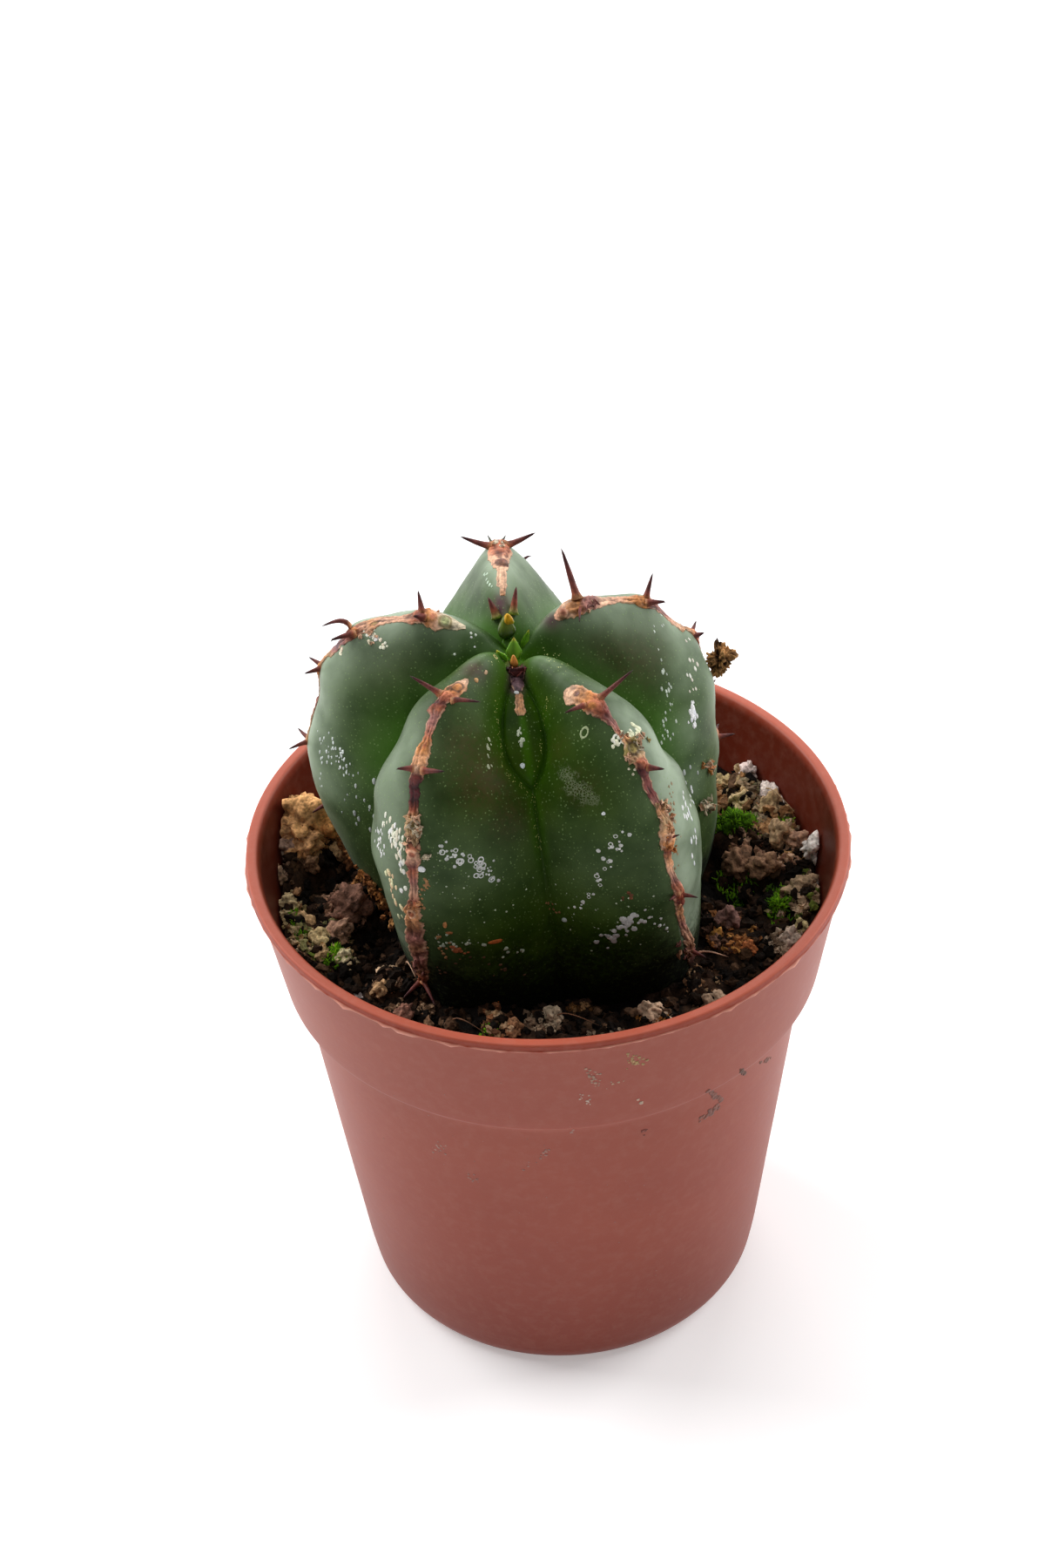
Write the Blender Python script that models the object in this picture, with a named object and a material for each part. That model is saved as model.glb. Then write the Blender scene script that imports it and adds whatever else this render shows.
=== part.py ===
# Ribbed euphorbia in a small round plastic nursery pot, +Z up, in metres.
# The origin is the middle of the pot's base. The ribs are named as seen from the front, which is -Y.

from math import cos, pi, radians, sin

import bmesh
import bpy
import numpy as np
from mathutils import Vector

MM = 0.001

# Pot: outside radii and heights in millimetres
RIM_HEIGHT = 50.0
LIP_RADIUS = 27.5
LIP_HEIGHT = 1.7
COLLAR_TOP_RADIUS = 26.9
COLLAR_FOOT_RADIUS = 24.9
COLLAR_FOOT_HEIGHT = 37.4
BODY_TOP_RADIUS = 23.4
BODY_TOP_HEIGHT = 36.4
BODY_FOOT_RADIUS = 19.0
BODY_FOOT_HEIGHT = 4.3
BASE_RADIUS = 17.3
WALL = 1.0
FLOOR = 1.3
LEDGE_RISE = 0.4
DRAIN_COUNT = 5
DRAIN_RADIUS = 2.1
DRAIN_CIRCLE = 11.5
POT_SIDES = 48

# Clear space between neighbouring solids
GAP = 0.3
LEDGE_GAP = 0.25
HOLE_GAP = 0.45

# Soil
SOIL_HEIGHT = 42.6
POCKET_FLOOR = 38.0
GRAIN_SPACING = 3.0
GRAIN_RELIEF = 1.5
SOIL_COLUMNS = 72
SOIL_RINGS = 9
# Lumps that stand above the rest: x, y, radius, top height
SOIL_LUMPS = (
    (-21.5, 7.0, 4.2, 46.6),
    (-19.5, 12.0, 3.2, 45.2),
    (-21.8, 1.0, 2.6, 44.4),
    (20.0, 10.5, 3.2, 44.6),
    (21.0, 3.0, 2.4, 44.2),
    (5.0, 21.0, 3.0, 44.8),
)

# Stem: it grows round a core point, and its axis leans from the foot to the top
CORE_HEIGHT = 56.0
LEAN_FOOT = (0.8, 0.7, 43.5)
LEAN_TOP = (-2.3, 2.1, 70.0)
STEM_FOOT = 38.4
PIT_DEPTH = 3.4
PIT_SPREAD = 11.0
# Each rib: azimuth, sideways turn, reach, height, squareness, taper length, flank roundness on each side
RIBS = {
    "right": (24.0, 0.0, 17.5, 16.7, 3.0, 25.0, 0.25, 0.40),
    "back": (93.0, 0.0, 18.9, 17.9, 2.8, 32.0, 0.45, 0.45),
    "left": (167.0, 3.0, 19.7, 16.8, 2.7, 30.0, 0.40, 0.25),
    "front_left": (237.0, -5.0, 19.2, 16.9, 2.9, 34.0, 1.00, 0.40),
    "front_right": (307.0, 1.5, 18.5, 16.0, 3.2, 27.0, 0.45, 1.00),
}
RIB_NAMES = list(RIBS)
# How deep a valley between two ribs cuts, as a share of the crest's distance, by polar angle
VALLEY_ANGLES = (0, 12, 25, 40, 57, 75, 100, 130, 180)
SIDE_VALLEY = (0, 0.20, 0.36, 0.43, 0.40, 0.35, 0.28, 0.22, 0.20)
BACK_VALLEY = (0, 0.20, 0.32, 0.36, 0.35, 0.32, 0.27, 0.22, 0.20)
FRONT_VALLEY = (0, 0.22, 0.42, 0.45, 0.29, 0.27, 0.24, 0.18, 0.18)
# The young rib that starts in the front valley: crest distance, half width and flank drop
YOUNG_AZIMUTH = 270.0
YOUNG_ANGLES = (0, 19, 30, 48, 58, 70, 90, 180)
YOUNG_CREST = (13.2, 14.0, 14.6, 14.8, 14.2, 12.5, 8.0, 5.0)
YOUNG_WIDTH = (1.2, 1.8, 2.4, 2.6, 2.2, 1.7, 1.3, 1.0)
YOUNG_DROP = 1.3
SWELL_SPREAD = 5.5
SWELL_SINK = 0.12
# Polar angles of the rings of points that the stem and its margins share
STEM_RINGS = np.array([*range(3, 128, 4), 132, 141, 155], float)

# Horny margin along each crest
MARGIN_LIFT = 0.4  # clear of the crest at its middle, less at its edges
MARGIN_THICKNESS = 0.6
MARGIN_WIDTH = 1.2
KNOT_WIDTH = 2.5
INNER_WIDTH = 0.5  # most width near the top, as a share of the distance from the axis
KNOT_THICKNESS = 0.5
KNOT_SPREAD = 4.2
MARGIN_END = 0.5  # share of the width at each end
SPINE_RADIUS = 0.42
SPINE_SIDES = 5
SPINE_ROOT = 0.5
SPINE_SPREAD = 0.1  # how far apart a pair's roots are, as a share of the tip's sideways reach
# Knots of each margin, on the stem's rings: polar angle, rib swelling, then the tip of each spine as
# sideways, outward, along
KNOTS = {
    "right": (
        (23, 0.5, ((3.4, 3.4, -0.5), (-1.6, 0.9, -0.6))),
        (43, 0.7, ((1.8, 2.2, 0.0), (-2.2, 1.1, 0.3))),
        (59, 0.6, ((1.5, 1.0, 0.2), (-1.0, 1.4, 0.0))),
        (79, 0.3, ()),
        (95, 0.5, ((1.6, 1.2, 0.0), (-1.1, 1.7, 0.0))),
    ),
    "back": (
        (11, 0.0, ((1.3, 2.1, 0.0), (-1.0, 2.8, 0.0))),
        (39, 0.7, ((3.4, 1.3, 0.0), (-3.4, 1.2, 0.0))),
        (63, 0.5, ((2.4, 1.6, 0.0), (-2.6, 1.4, 0.0))),
        (83, 0.5, ((2.0, 1.5, 0.2), (-1.8, 1.6, 0.1))),
        (103, 0.4, ()),
    ),
    "left": (
        (27, 0.5, ((1.6, 2.6, 0.0), (-2.2, 1.8, 0.0))),
        (43, 0.7, ((3.2, 2.3, 0.6), (2.0, 1.8, 1.6))),
        (59, 0.5, ((1.9, 1.3, 0.0), (-1.6, 1.5, 0.0))),
        (83, 0.4, ((1.7, 1.5, 0.1), (-1.7, 1.4, 0.0))),
        (103, 0.3, ()),
    ),
    "front_left": (
        (35, 0.5, ((-2.8, 2.5, 0.0), (3.4, 1.8, 0.0))),
        (51, 0.7, ((-2.1, 1.5, 0.2), (2.3, 1.5, 0.0))),
        (67, 0.4, ()),
        (83, 0.5, ((-1.3, 1.0, 0.0), (1.3, 1.0, 0.0))),
        (103, 0.4, ()),
        (115, 0.0, ((-2.0, 1.7, 0.3), (1.5, 1.5, 0.4))),
    ),
    "front_right": (
        (39, 0.5, ((3.1, 2.9, 0.0), (-3.3, 1.9, -0.2))),
        (55, 0.7, ((2.0, 1.4, 0.0), (-1.0, 1.0, 0.0))),
        (75, 0.5, ()),
        (95, 0.5, ((1.8, 1.5, 0.0), (-0.9, 1.1, 0.0))),
        (111, 0.4, ((2.0, 1.8, 0.0), (-1.3, 1.4, 0.2))),
    ),
    "front_centre": ((11, 0.0, ((-0.9, 1.2, 0.0), (0.9, 1.1, 0.0))),),
}
# Where each margin starts and ends, by polar angle
MARGIN_SPAN = {
    "right": (15, 111),
    "back": (7, 107),
    "left": (15, 111),
    "front_left": (23, 119),
    "front_right": (27, 119),
    "front_centre": (7, 27),
}

# Tiny leaves in the pit at the top: azimuth, length, width and outward tilt
LEAF_THICKNESS = 0.6
LEAVES = ((40, 2.6, 1.5, 24), (150, 2.2, 1.3, 30), (262, 1.7, 1.1, 2), (335, 2.2, 1.2, 34))

# Soil crumb caught on a spine of the right rib
CRUMB_PLACE = (16.9, 9.0, 62.2)
CRUMB_RADIUS = 1.25

GREEN = (0.045, 0.105, 0.040)
HORN = (0.52, 0.26, 0.13)
CLAY_PLASTIC = (0.30, 0.085, 0.055)
EARTH = (0.22, 0.13, 0.075)
CRUMB_BROWN = (0.30, 0.17, 0.08)

RNG = np.random.default_rng(11)


def clear_scene():
    for obj in list(bpy.data.objects):
        bpy.data.objects.remove(obj, do_unlink=True)


def make_material(name, colour, roughness):
    material = bpy.data.materials.new(name)
    material.use_nodes = True
    shader = material.node_tree.nodes["Principled BSDF"]
    shader.inputs["Base Color"].default_value = (*colour, 1.0)
    shader.inputs["Roughness"].default_value = roughness
    shader.inputs["Metallic"].default_value = 0.0
    return material


def add_object(name, mesh, material=None):
    obj = bpy.data.objects.new(name, mesh)
    bpy.context.scene.collection.objects.link(obj)
    if material:
        mesh.materials.append(material)
    return obj


def skin_rings(name, rings, start=None, end=None):
    """A closed mesh through rings of points in millimetres, fanned to a start and an end point."""
    mesh = bmesh.new()
    loops = [[mesh.verts.new(Vector(point) * MM) for point in ring] for ring in rings]
    count = len(loops[0])
    for low, high in zip(loops[:-1], loops[1:]):
        for i in range(count):
            k = (i + 1) % count
            mesh.faces.new((low[i], low[k], high[k], high[i]))
    for loop, point, turned in ((loops[0], start, True), (loops[-1], end, False)):
        centre = np.mean([np.array(v.co) for v in loop], axis=0) / MM if point is None else point
        tip = mesh.verts.new(Vector(centre) * MM)
        for i in range(count):
            k = (i + 1) % count
            mesh.faces.new((loop[k], loop[i], tip) if turned else (loop[i], loop[k], tip))
    bmesh.ops.recalc_face_normals(mesh, faces=mesh.faces)
    data = bpy.data.meshes.new(name)
    mesh.to_mesh(data)
    mesh.free()
    data.shade_smooth()
    data.set_sharp_from_angle(angle=radians(40))
    return data


def join_pieces(name, base, pieces, material):
    """One solid from a base object and the pieces rooted in it."""
    group = bpy.data.collections.new(name + "_pieces")
    bpy.context.scene.collection.children.link(group)
    for piece in pieces:
        bpy.context.scene.collection.objects.unlink(piece)
        group.objects.link(piece)
    union = base.modifiers.new("Join", "BOOLEAN")
    union.operation = "UNION"
    union.operand_type = "COLLECTION"
    union.collection = group
    union.solver = "EXACT"
    graph = bpy.context.evaluated_depsgraph_get()
    joined = bpy.data.meshes.new_from_object(base.evaluated_get(graph))
    for obj in [base, *pieces]:
        bpy.data.objects.remove(obj, do_unlink=True)
    bpy.data.collections.remove(group)
    joined.materials.clear()
    joined.name = name
    return add_object(name, joined, material)


def curve_through(angles, values, at):
    """Smooth value at each polar angle of a curve through a few points."""
    angles = np.asarray(angles, float)
    values = np.asarray(values, float)
    slopes = np.gradient(values, angles)
    i = np.clip(np.searchsorted(angles, at, side="right") - 1, 0, len(angles) - 2)
    span = angles[i + 1] - angles[i]
    t = np.clip((at - angles[i]) / span, 0, 1)
    rise = (3 - 2 * t) * t * t
    return (
        (1 - rise) * values[i]
        + rise * values[i + 1]
        + (t - 1) ** 2 * t * span * slopes[i]
        + (t - 1) * t * t * span * slopes[i + 1]
    )


def crest_azimuth(rib, polar):
    azimuth, turn = RIBS[rib][:2]
    return azimuth + turn * (polar - 60) / 60


def crest_distance(rib, polar):
    """From the core to the crest: square-shouldered above the core, a slow taper below, a pit on top."""
    reach, height, squareness, taper = RIBS[rib][2:6]
    side = np.sin(np.radians(polar))
    up = np.cos(np.radians(polar))
    rise = np.clip(up, 0, None) / height
    above = ((side / reach) ** squareness + rise**squareness) ** (-1 / squareness)
    below = 1 / np.sqrt((side / reach) ** 2 + (up / taper) ** 2)
    pit = PIT_DEPTH * np.exp(-((polar / PIT_SPREAD) ** 2))
    return np.where(up > 0, above, below) - pit


def crest_swell(rib, polar):
    """The crest swells at each knot and sinks a little between two."""
    swell = sum(size * np.exp(-(((polar - at) / SWELL_SPREAD) ** 2)) for at, size, _ in KNOTS[rib])
    return swell - SWELL_SINK


def young_distance(azimuth, polar):
    """From the core to the young rib's surface."""
    crest = curve_through(YOUNG_ANGLES, YOUNG_CREST, polar)
    width = curve_through(YOUNG_ANGLES, YOUNG_WIDTH, polar)
    turn = (azimuth - YOUNG_AZIMUTH + 180) % 360 - 180
    sideways = crest * np.sin(np.radians(np.clip(turn, -90, 90))) * np.sin(np.radians(polar))
    return np.where(abs(turn) < 60, crest - YOUNG_DROP * (sideways / width) ** 2, 0)


def stem_distance(gap, share, polar):
    """From the core to the stem's surface, at a share of the way from one crest to the next."""
    this, following = RIB_NAMES[gap], RIB_NAMES[(gap + 1) % 5]
    start = crest_azimuth(this, polar)
    width = (crest_azimuth(following, polar) - start) % 360
    blend = share * share * (3 - 2 * share)
    crest = crest_distance(this, polar) * (1 - blend) + crest_distance(following, polar) * blend
    near = this if share < 0.5 else following
    roundness = RIBS[this][7] if share < 0.5 else RIBS[following][6]
    depth = (BACK_VALLEY, BACK_VALLEY, SIDE_VALLEY, FRONT_VALLEY, SIDE_VALLEY)[gap]
    across = 1 - abs(1 - 2 * share)
    flank = (np.hypot(across, roundness) - roundness) / (np.hypot(1, roundness) - roundness)
    swell = crest_swell(near, polar) * np.exp(-((across / 0.28) ** 2))
    distance = crest * (1 - curve_through(VALLEY_ANGLES, depth, polar) * flank) + swell
    azimuth = start + share * width
    return azimuth, np.maximum(distance, young_distance(azimuth, polar))


def stem_point(azimuth, polar, distance):
    """A point of the leaning stem, in millimetres."""
    radius = distance * np.sin(np.radians(polar))
    height = CORE_HEIGHT + distance * np.cos(np.radians(polar))
    lean = (height - LEAN_FOOT[2]) / (LEAN_TOP[2] - LEAN_FOOT[2])
    x = radius * np.cos(np.radians(azimuth)) + LEAN_FOOT[0] + lean * (LEAN_TOP[0] - LEAN_FOOT[0])
    y = radius * np.sin(np.radians(azimuth)) + LEAN_FOOT[1] + lean * (LEAN_TOP[1] - LEAN_FOOT[1])
    return np.stack([x, y, height], axis=-1)


def surface_at(azimuth, polar):
    """The stem's distance at any azimuth and polar angle."""
    starts = [crest_azimuth(name, polar) for name in RIB_NAMES]
    gap = max((i for i in range(5) if azimuth % 360 >= starts[i]), default=4)
    start = starts[gap]
    width = (starts[(gap + 1) % 5] - start) % 360
    return stem_distance(gap, ((azimuth - start) % 360) / width, polar)[1]


def crest_at(rib, polar):
    """Azimuth and distance of a crest, on a main rib or on the young one."""
    azimuth = YOUNG_AZIMUTH if rib == "front_centre" else crest_azimuth(rib, polar)
    return azimuth, surface_at(azimuth, polar)


def crest_frame(rib, polar):
    """Sideways, outward and along directions at a crest."""
    ends = [stem_point(a, p, d) for p in (polar - 1.5, polar + 1.5) for a, d in [crest_at(rib, p)]]
    along = ends[1] - ends[0]
    along /= np.linalg.norm(along)
    azimuth = radians(crest_at(rib, polar)[0])
    sideways = np.array([-sin(azimuth), cos(azimuth), 0])
    outward = np.cross(along, sideways)
    outward /= np.linalg.norm(outward)
    return np.cross(outward, along), outward, along


def side_shares():
    """Shares across a gap between ribs, closer together at the crests and in the valley."""
    shares = [0, 0.045, 0.12, 0.21, 0.31, 0.41, 0.5]
    return shares + [1 - share for share in shares[-2:0:-1]]


def build_stem(material):
    shares = side_shares()
    front_shares = np.linspace(0, 1, 21)[:-1]
    rings = []
    for polar in STEM_RINGS:
        ring = []
        for gap in range(5):
            for share in front_shares if gap == 3 else shares:
                azimuth, distance = stem_distance(gap, share, polar)
                if polar > 90:
                    distance = min(distance, (STEM_FOOT - CORE_HEIGHT) / cos(radians(polar)))
                ring.append(stem_point(azimuth, polar, distance))
        rings.append(ring)
    top = stem_point(0, 0, crest_distance("back", 0))
    foot = stem_point(0, 180, CORE_HEIGHT - STEM_FOOT)
    base = add_object("stem_base", skin_rings("stem_base", rings, top, foot))
    return join_pieces("stem", base, [make_leaf(*leaf) for leaf in LEAVES], material)


def make_leaf(azimuth, length, width, tilt):
    """A small pointed leaf whose root is sunk in the pit at the top."""
    mesh = bmesh.new()
    bmesh.ops.create_cube(mesh, size=MM)
    bmesh.ops.scale(mesh, vec=(LEAF_THICKNESS, width, length), verts=mesh.verts)
    bmesh.ops.translate(mesh, vec=(0, 0, length / 2 * MM), verts=mesh.verts)
    for vert in mesh.verts:
        if vert.co.z > length / 2 * MM:
            vert.co.y *= 0.2
            vert.co.x *= 0.8
    rises = {edge: abs(edge.verts[0].co.z - edge.verts[1].co.z) for edge in mesh.edges}
    lengthways = [edge for edge, rise in rises.items() if rise > length / 2 * MM]
    bmesh.ops.subdivide_edges(mesh, edges=lengthways, cuts=1)
    for vert in mesh.verts:
        if 0.3 * length * MM < vert.co.z < 0.7 * length * MM:
            vert.co.y *= 1.45
            vert.co.x += 0.25 * MM
    bmesh.ops.recalc_face_normals(mesh, faces=mesh.faces)
    data = bpy.data.meshes.new("leaf")
    mesh.to_mesh(data)
    mesh.free()
    leaf = add_object("leaf", data)
    pit = stem_point(0, 0, crest_distance("back", 0))
    reach = 0.75
    root = pit + np.array([reach * cos(radians(azimuth)), reach * sin(radians(azimuth)), -0.7])
    leaf.location = Vector(root) * MM
    leaf.rotation_euler = (0, radians(tilt), radians(azimuth))
    bpy.context.view_layer.update()
    return leaf


def margin_ring(rib, polar, width, thickness):
    """Six points round the margin: three on its underside and three over its back."""
    points = []
    outline = ((-1, 0), (-0.8, 0.7), (0, 1), (0.8, 0.7), (1, 0), (0, 0))
    crest, distance = crest_at(rib, polar)
    radius = distance * sin(radians(polar))
    width = min(width, INNER_WIDTH * radius)
    for across, rise in outline:
        azimuth = crest + np.degrees(across * width / 2 / radius)
        lift = MARGIN_LIFT + thickness * rise
        points.append(stem_point(azimuth, polar, surface_at(azimuth, polar) + lift))
    return points


def knot_share(rib, polar):
    return max(np.exp(-(((polar - at) / KNOT_SPREAD) ** 2)) for at, _, _ in KNOTS[rib])


def make_spine(rib, polar, tip):
    """A tapered spine that starts inside its knot and leans sideways."""
    sideways, outward, along = crest_frame(rib, polar)
    azimuth, distance = crest_at(rib, polar)
    start = stem_point(azimuth, polar, distance + MARGIN_LIFT + SPINE_ROOT)
    start = start + sideways * SPINE_SPREAD * tip[0]
    reach = sideways * tip[0] + outward * tip[1] + along * tip[2]
    length = np.linalg.norm(reach)
    ahead = reach / length
    first = np.cross(ahead, along)
    first /= np.linalg.norm(first)
    second = np.cross(ahead, first)
    rings = []
    for share, size in ((0, 1.0), (0.35, 0.62), (0.7, 0.34)):
        centre = start + reach * share + outward * 0.12 * length * share * (1 - share)
        turns = [2 * pi * k / SPINE_SIDES for k in range(SPINE_SIDES)]
        rings.append([centre + SPINE_RADIUS * size * (first * cos(a) + second * sin(a)) for a in turns])
    return add_object("spine", skin_rings("spine", rings, start, start + reach))


def build_margin(rib, material):
    """The horny margin of one rib, with its knots and paired spines."""
    first, last = MARGIN_SPAN[rib]
    rings = []
    for polar in STEM_RINGS[(STEM_RINGS >= first) & (STEM_RINGS <= last)]:
        knot = knot_share(rib, polar)
        ends = MARGIN_END if polar in (first, last) else 1
        width = (MARGIN_WIDTH + (KNOT_WIDTH - MARGIN_WIDTH) * knot) * ends
        thickness = MARGIN_THICKNESS + KNOT_THICKNESS * knot
        rings.append(margin_ring(rib, polar, width, thickness))
    name = "margin_" + rib
    base = add_object(name + "_strip", skin_rings(name, rings))
    spines = [make_spine(rib, polar, tip) for polar, _, tips in KNOTS[rib] for tip in tips]
    return join_pieces(name, base, spines, material)


def pot_outside():
    """Outside of the pot as radius and height, from the lip down to the base."""
    lip_foot = RIM_HEIGHT - LIP_HEIGHT
    return [
        (LIP_RADIUS - 0.35, RIM_HEIGHT),
        (LIP_RADIUS, RIM_HEIGHT - 0.4),
        (LIP_RADIUS, lip_foot + 0.3),
        (COLLAR_TOP_RADIUS, lip_foot),
        (COLLAR_FOOT_RADIUS, COLLAR_FOOT_HEIGHT),
        (COLLAR_FOOT_RADIUS - 0.6, COLLAR_FOOT_HEIGHT - 0.7),
        (BODY_TOP_RADIUS, BODY_TOP_HEIGHT),
        (BODY_FOOT_RADIUS, BODY_FOOT_HEIGHT),
        (BODY_FOOT_RADIUS - 0.5, BODY_FOOT_HEIGHT / 3),
        (BASE_RADIUS, 0),
        (0, 0),
    ]


def pot_inside():
    """Inside of the pot as radius and height, from the floor's middle up to the lip."""
    return [
        (0, FLOOR),
        (BASE_RADIUS - WALL, FLOOR),
        (BODY_FOOT_RADIUS - WALL, BODY_FOOT_HEIGHT),
        (BODY_TOP_RADIUS - WALL, BODY_TOP_HEIGHT),
        (COLLAR_FOOT_RADIUS - WALL, COLLAR_FOOT_HEIGHT + LEDGE_RISE),
        (COLLAR_TOP_RADIUS - WALL, RIM_HEIGHT - 0.6),
        (COLLAR_TOP_RADIUS - WALL + 0.3, RIM_HEIGHT),
    ]


def build_pot(material):
    mesh = bmesh.new()
    outline = pot_inside() + pot_outside()
    profile = [mesh.verts.new((radius * MM, 0, height * MM)) for radius, height in outline]
    for upper, lower in zip(profile[:-1], profile[1:]):
        mesh.edges.new((upper, lower))
    data = bpy.data.meshes.new("pot")
    mesh.to_mesh(data)
    mesh.free()
    pot = add_object("pot", data, material)
    turn = pot.modifiers.new("Turn", "SCREW")
    turn.steps = turn.render_steps = POT_SIDES
    turn.use_merge_vertices = True
    turn.merge_threshold = 1e-6
    drains = pot.modifiers.new("Drains", "BOOLEAN")
    drains.operation = "DIFFERENCE"
    drains.object = make_drain_cutter()
    return pot


def make_drain_cutter():
    mesh = bmesh.new()
    radius = DRAIN_RADIUS * MM
    depth = 3 * FLOOR * MM
    for k in range(DRAIN_COUNT):
        angle = 2 * pi * (k + 0.5) / DRAIN_COUNT
        made = bmesh.ops.create_cone(
            mesh, cap_ends=True, segments=12, radius1=radius, radius2=radius, depth=depth
        )
        place = (DRAIN_CIRCLE * cos(angle) * MM, DRAIN_CIRCLE * sin(angle) * MM, FLOOR / 2 * MM)
        bmesh.ops.translate(mesh, vec=place, verts=made["verts"])
    data = bpy.data.meshes.new("drain_cutter")
    mesh.to_mesh(data)
    mesh.free()
    cutter = add_object("drain_cutter", data)
    cutter.hide_render = True
    cutter.display_type = "WIRE"
    return cutter


def soil_edge_radius(height):
    """Radius of the soil at the wall, clear of the wall and of its ledge."""
    radii, heights = zip(*pot_inside()[1:])
    return np.interp(height - LEDGE_GAP, heights, radii) - GAP


def scatter_grains():
    """Places, radii and heights of the coarse grains on the soil."""
    grains = []
    for x in np.arange(-26, 26.1, GRAIN_SPACING):
        for y in np.arange(-26, 26.1, GRAIN_SPACING):
            dx, dy = RNG.uniform(-0.45, 0.45, 2) * GRAIN_SPACING
            radius = RNG.uniform(0.55, 1.0) * GRAIN_SPACING * 0.7
            grains.append((x + dx, y + dy, radius, GRAIN_RELIEF * RNG.uniform(0.3, 1.0)))
    return np.array(grains)


def soil_top(x, y, grains):
    away = np.hypot(x - grains[:, 0], y - grains[:, 1]) / grains[:, 2]
    height = SOIL_HEIGHT + max(np.sqrt(np.clip(1 - away**2, 0, 1)) * grains[:, 3])
    for lump_x, lump_y, radius, top in SOIL_LUMPS:
        near = np.hypot(x - lump_x, y - lump_y) / radius
        height = max(height, SOIL_HEIGHT + (top - SOIL_HEIGHT) * (1 - near**2) ** 0.5 if near < 1 else 0)
    return height


def stem_radius(azimuth, height):
    """Horizontal radius of the stem at a height below its core, measured from its axis."""
    polar = 125.0
    for _ in range(25):
        wanted = np.degrees(np.arccos(np.clip((height - CORE_HEIGHT) / surface_at(azimuth, polar), -1, 1)))
        polar += 0.5 * (wanted - polar)
    return surface_at(azimuth, polar) * sin(radians(polar))


def stem_axis(height):
    """Where the leaning stem's axis is at a height."""
    foot, top = np.array(LEAN_FOOT), np.array(LEAN_TOP)
    return (foot + (height - foot[2]) / (top[2] - foot[2]) * (top - foot))[:2]


def hole_radius(azimuth):
    """Radius of the soil's hole, clear of the stem at the soil line and over the grains."""
    widest = max(stem_radius(azimuth, SOIL_HEIGHT + rise) for rise in (0, GRAIN_RELIEF))
    return widest + HOLE_GAP


def build_soil(material):
    """A plug that fills the pot, with a plain hole for the stem's foot and a coarse granular top."""
    grains = scatter_grains()
    azimuths = np.arange(SOIL_COLUMNS) * 360 / SOIL_COLUMNS
    axis = stem_axis(SOIL_HEIGHT)
    directions = [np.array([cos(radians(a)), sin(radians(a))]) for a in azimuths]
    holes = [hole_radius(a) for a in azimuths]

    def at_hole(height):
        return [(*(axis + d * hole), height) for d, hole in zip(directions, holes)]

    def at_wall(height):
        return [(*wall_point(d, soil_edge_radius(height)), height) for d in directions]

    def wall_point(direction, radius):
        along = axis @ direction
        return axis + direction * (-along + np.sqrt(along**2 + radius**2 - axis @ axis))

    rings = [at_hole(POCKET_FLOOR), at_hole(SOIL_HEIGHT)]
    for share in np.linspace(0.12, 1, SOIL_RINGS):
        ring = []
        for direction, hole in zip(directions, holes):
            outer = wall_point(direction, soil_edge_radius(SOIL_HEIGHT))
            inner = axis + direction * hole
            x, y = inner + (outer - inner) * share
            ring.append((x, y, soil_top(x, y, grains)))
        rings.append(ring)
    ledge = (COLLAR_FOOT_HEIGHT + LEDGE_RISE + LEDGE_GAP, BODY_TOP_HEIGHT + LEDGE_GAP)
    for height in (*ledge, BODY_FOOT_HEIGHT + LEDGE_GAP, FLOOR + GAP):
        rings.append(at_wall(height))
    floor = (*axis, POCKET_FLOOR)
    return add_object("soil", skin_rings("soil", rings, floor, (0, 0, FLOOR + GAP)), material)


def build_crumb(material):
    """An angular crumb of earth."""
    mesh = bmesh.new()
    bmesh.ops.create_icosphere(mesh, subdivisions=2, radius=CRUMB_RADIUS * MM)
    for vert in mesh.verts:
        vert.co *= RNG.uniform(0.78, 1.12)
    data = bpy.data.meshes.new("caught_crumb")
    mesh.to_mesh(data)
    mesh.free()
    crumb = add_object("caught_crumb", data, material)
    crumb.location = Vector(CRUMB_PLACE) * MM
    crumb.scale = (1.15, 0.9, 1.0)
    return crumb


def main():
    clear_scene()
    plastic = make_material("terracotta_plastic", CLAY_PLASTIC, 0.5)
    earth = make_material("potting_soil", EARTH, 0.95)
    skin = make_material("green_skin", GREEN, 0.45)
    horn = make_material("horny_margin", HORN, 0.6)
    crumb = make_material("soil_crumb", CRUMB_BROWN, 0.95)
    build_pot(plastic)
    build_soil(earth)
    build_stem(skin)
    for rib in KNOTS:
        build_margin(rib, horn)
    build_crumb(crumb)


main()
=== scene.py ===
from math import cos, pi, radians, sin

import bpy
import numpy as np
from mathutils import Matrix, Vector
from mathutils.bvhtree import BVHTree


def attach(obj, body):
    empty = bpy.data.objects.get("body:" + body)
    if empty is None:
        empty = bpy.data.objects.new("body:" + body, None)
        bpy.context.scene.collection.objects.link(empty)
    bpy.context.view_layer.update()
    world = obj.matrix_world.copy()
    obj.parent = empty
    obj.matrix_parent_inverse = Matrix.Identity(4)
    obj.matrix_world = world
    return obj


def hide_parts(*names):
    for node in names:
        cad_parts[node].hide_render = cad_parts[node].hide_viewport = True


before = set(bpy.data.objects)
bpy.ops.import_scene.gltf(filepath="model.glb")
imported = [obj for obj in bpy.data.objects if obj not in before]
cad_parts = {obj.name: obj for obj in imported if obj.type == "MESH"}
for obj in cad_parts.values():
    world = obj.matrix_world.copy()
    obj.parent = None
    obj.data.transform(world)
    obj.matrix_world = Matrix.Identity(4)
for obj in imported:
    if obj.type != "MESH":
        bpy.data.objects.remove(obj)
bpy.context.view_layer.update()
mm = 0.001


# Small helpers for meshes

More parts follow.
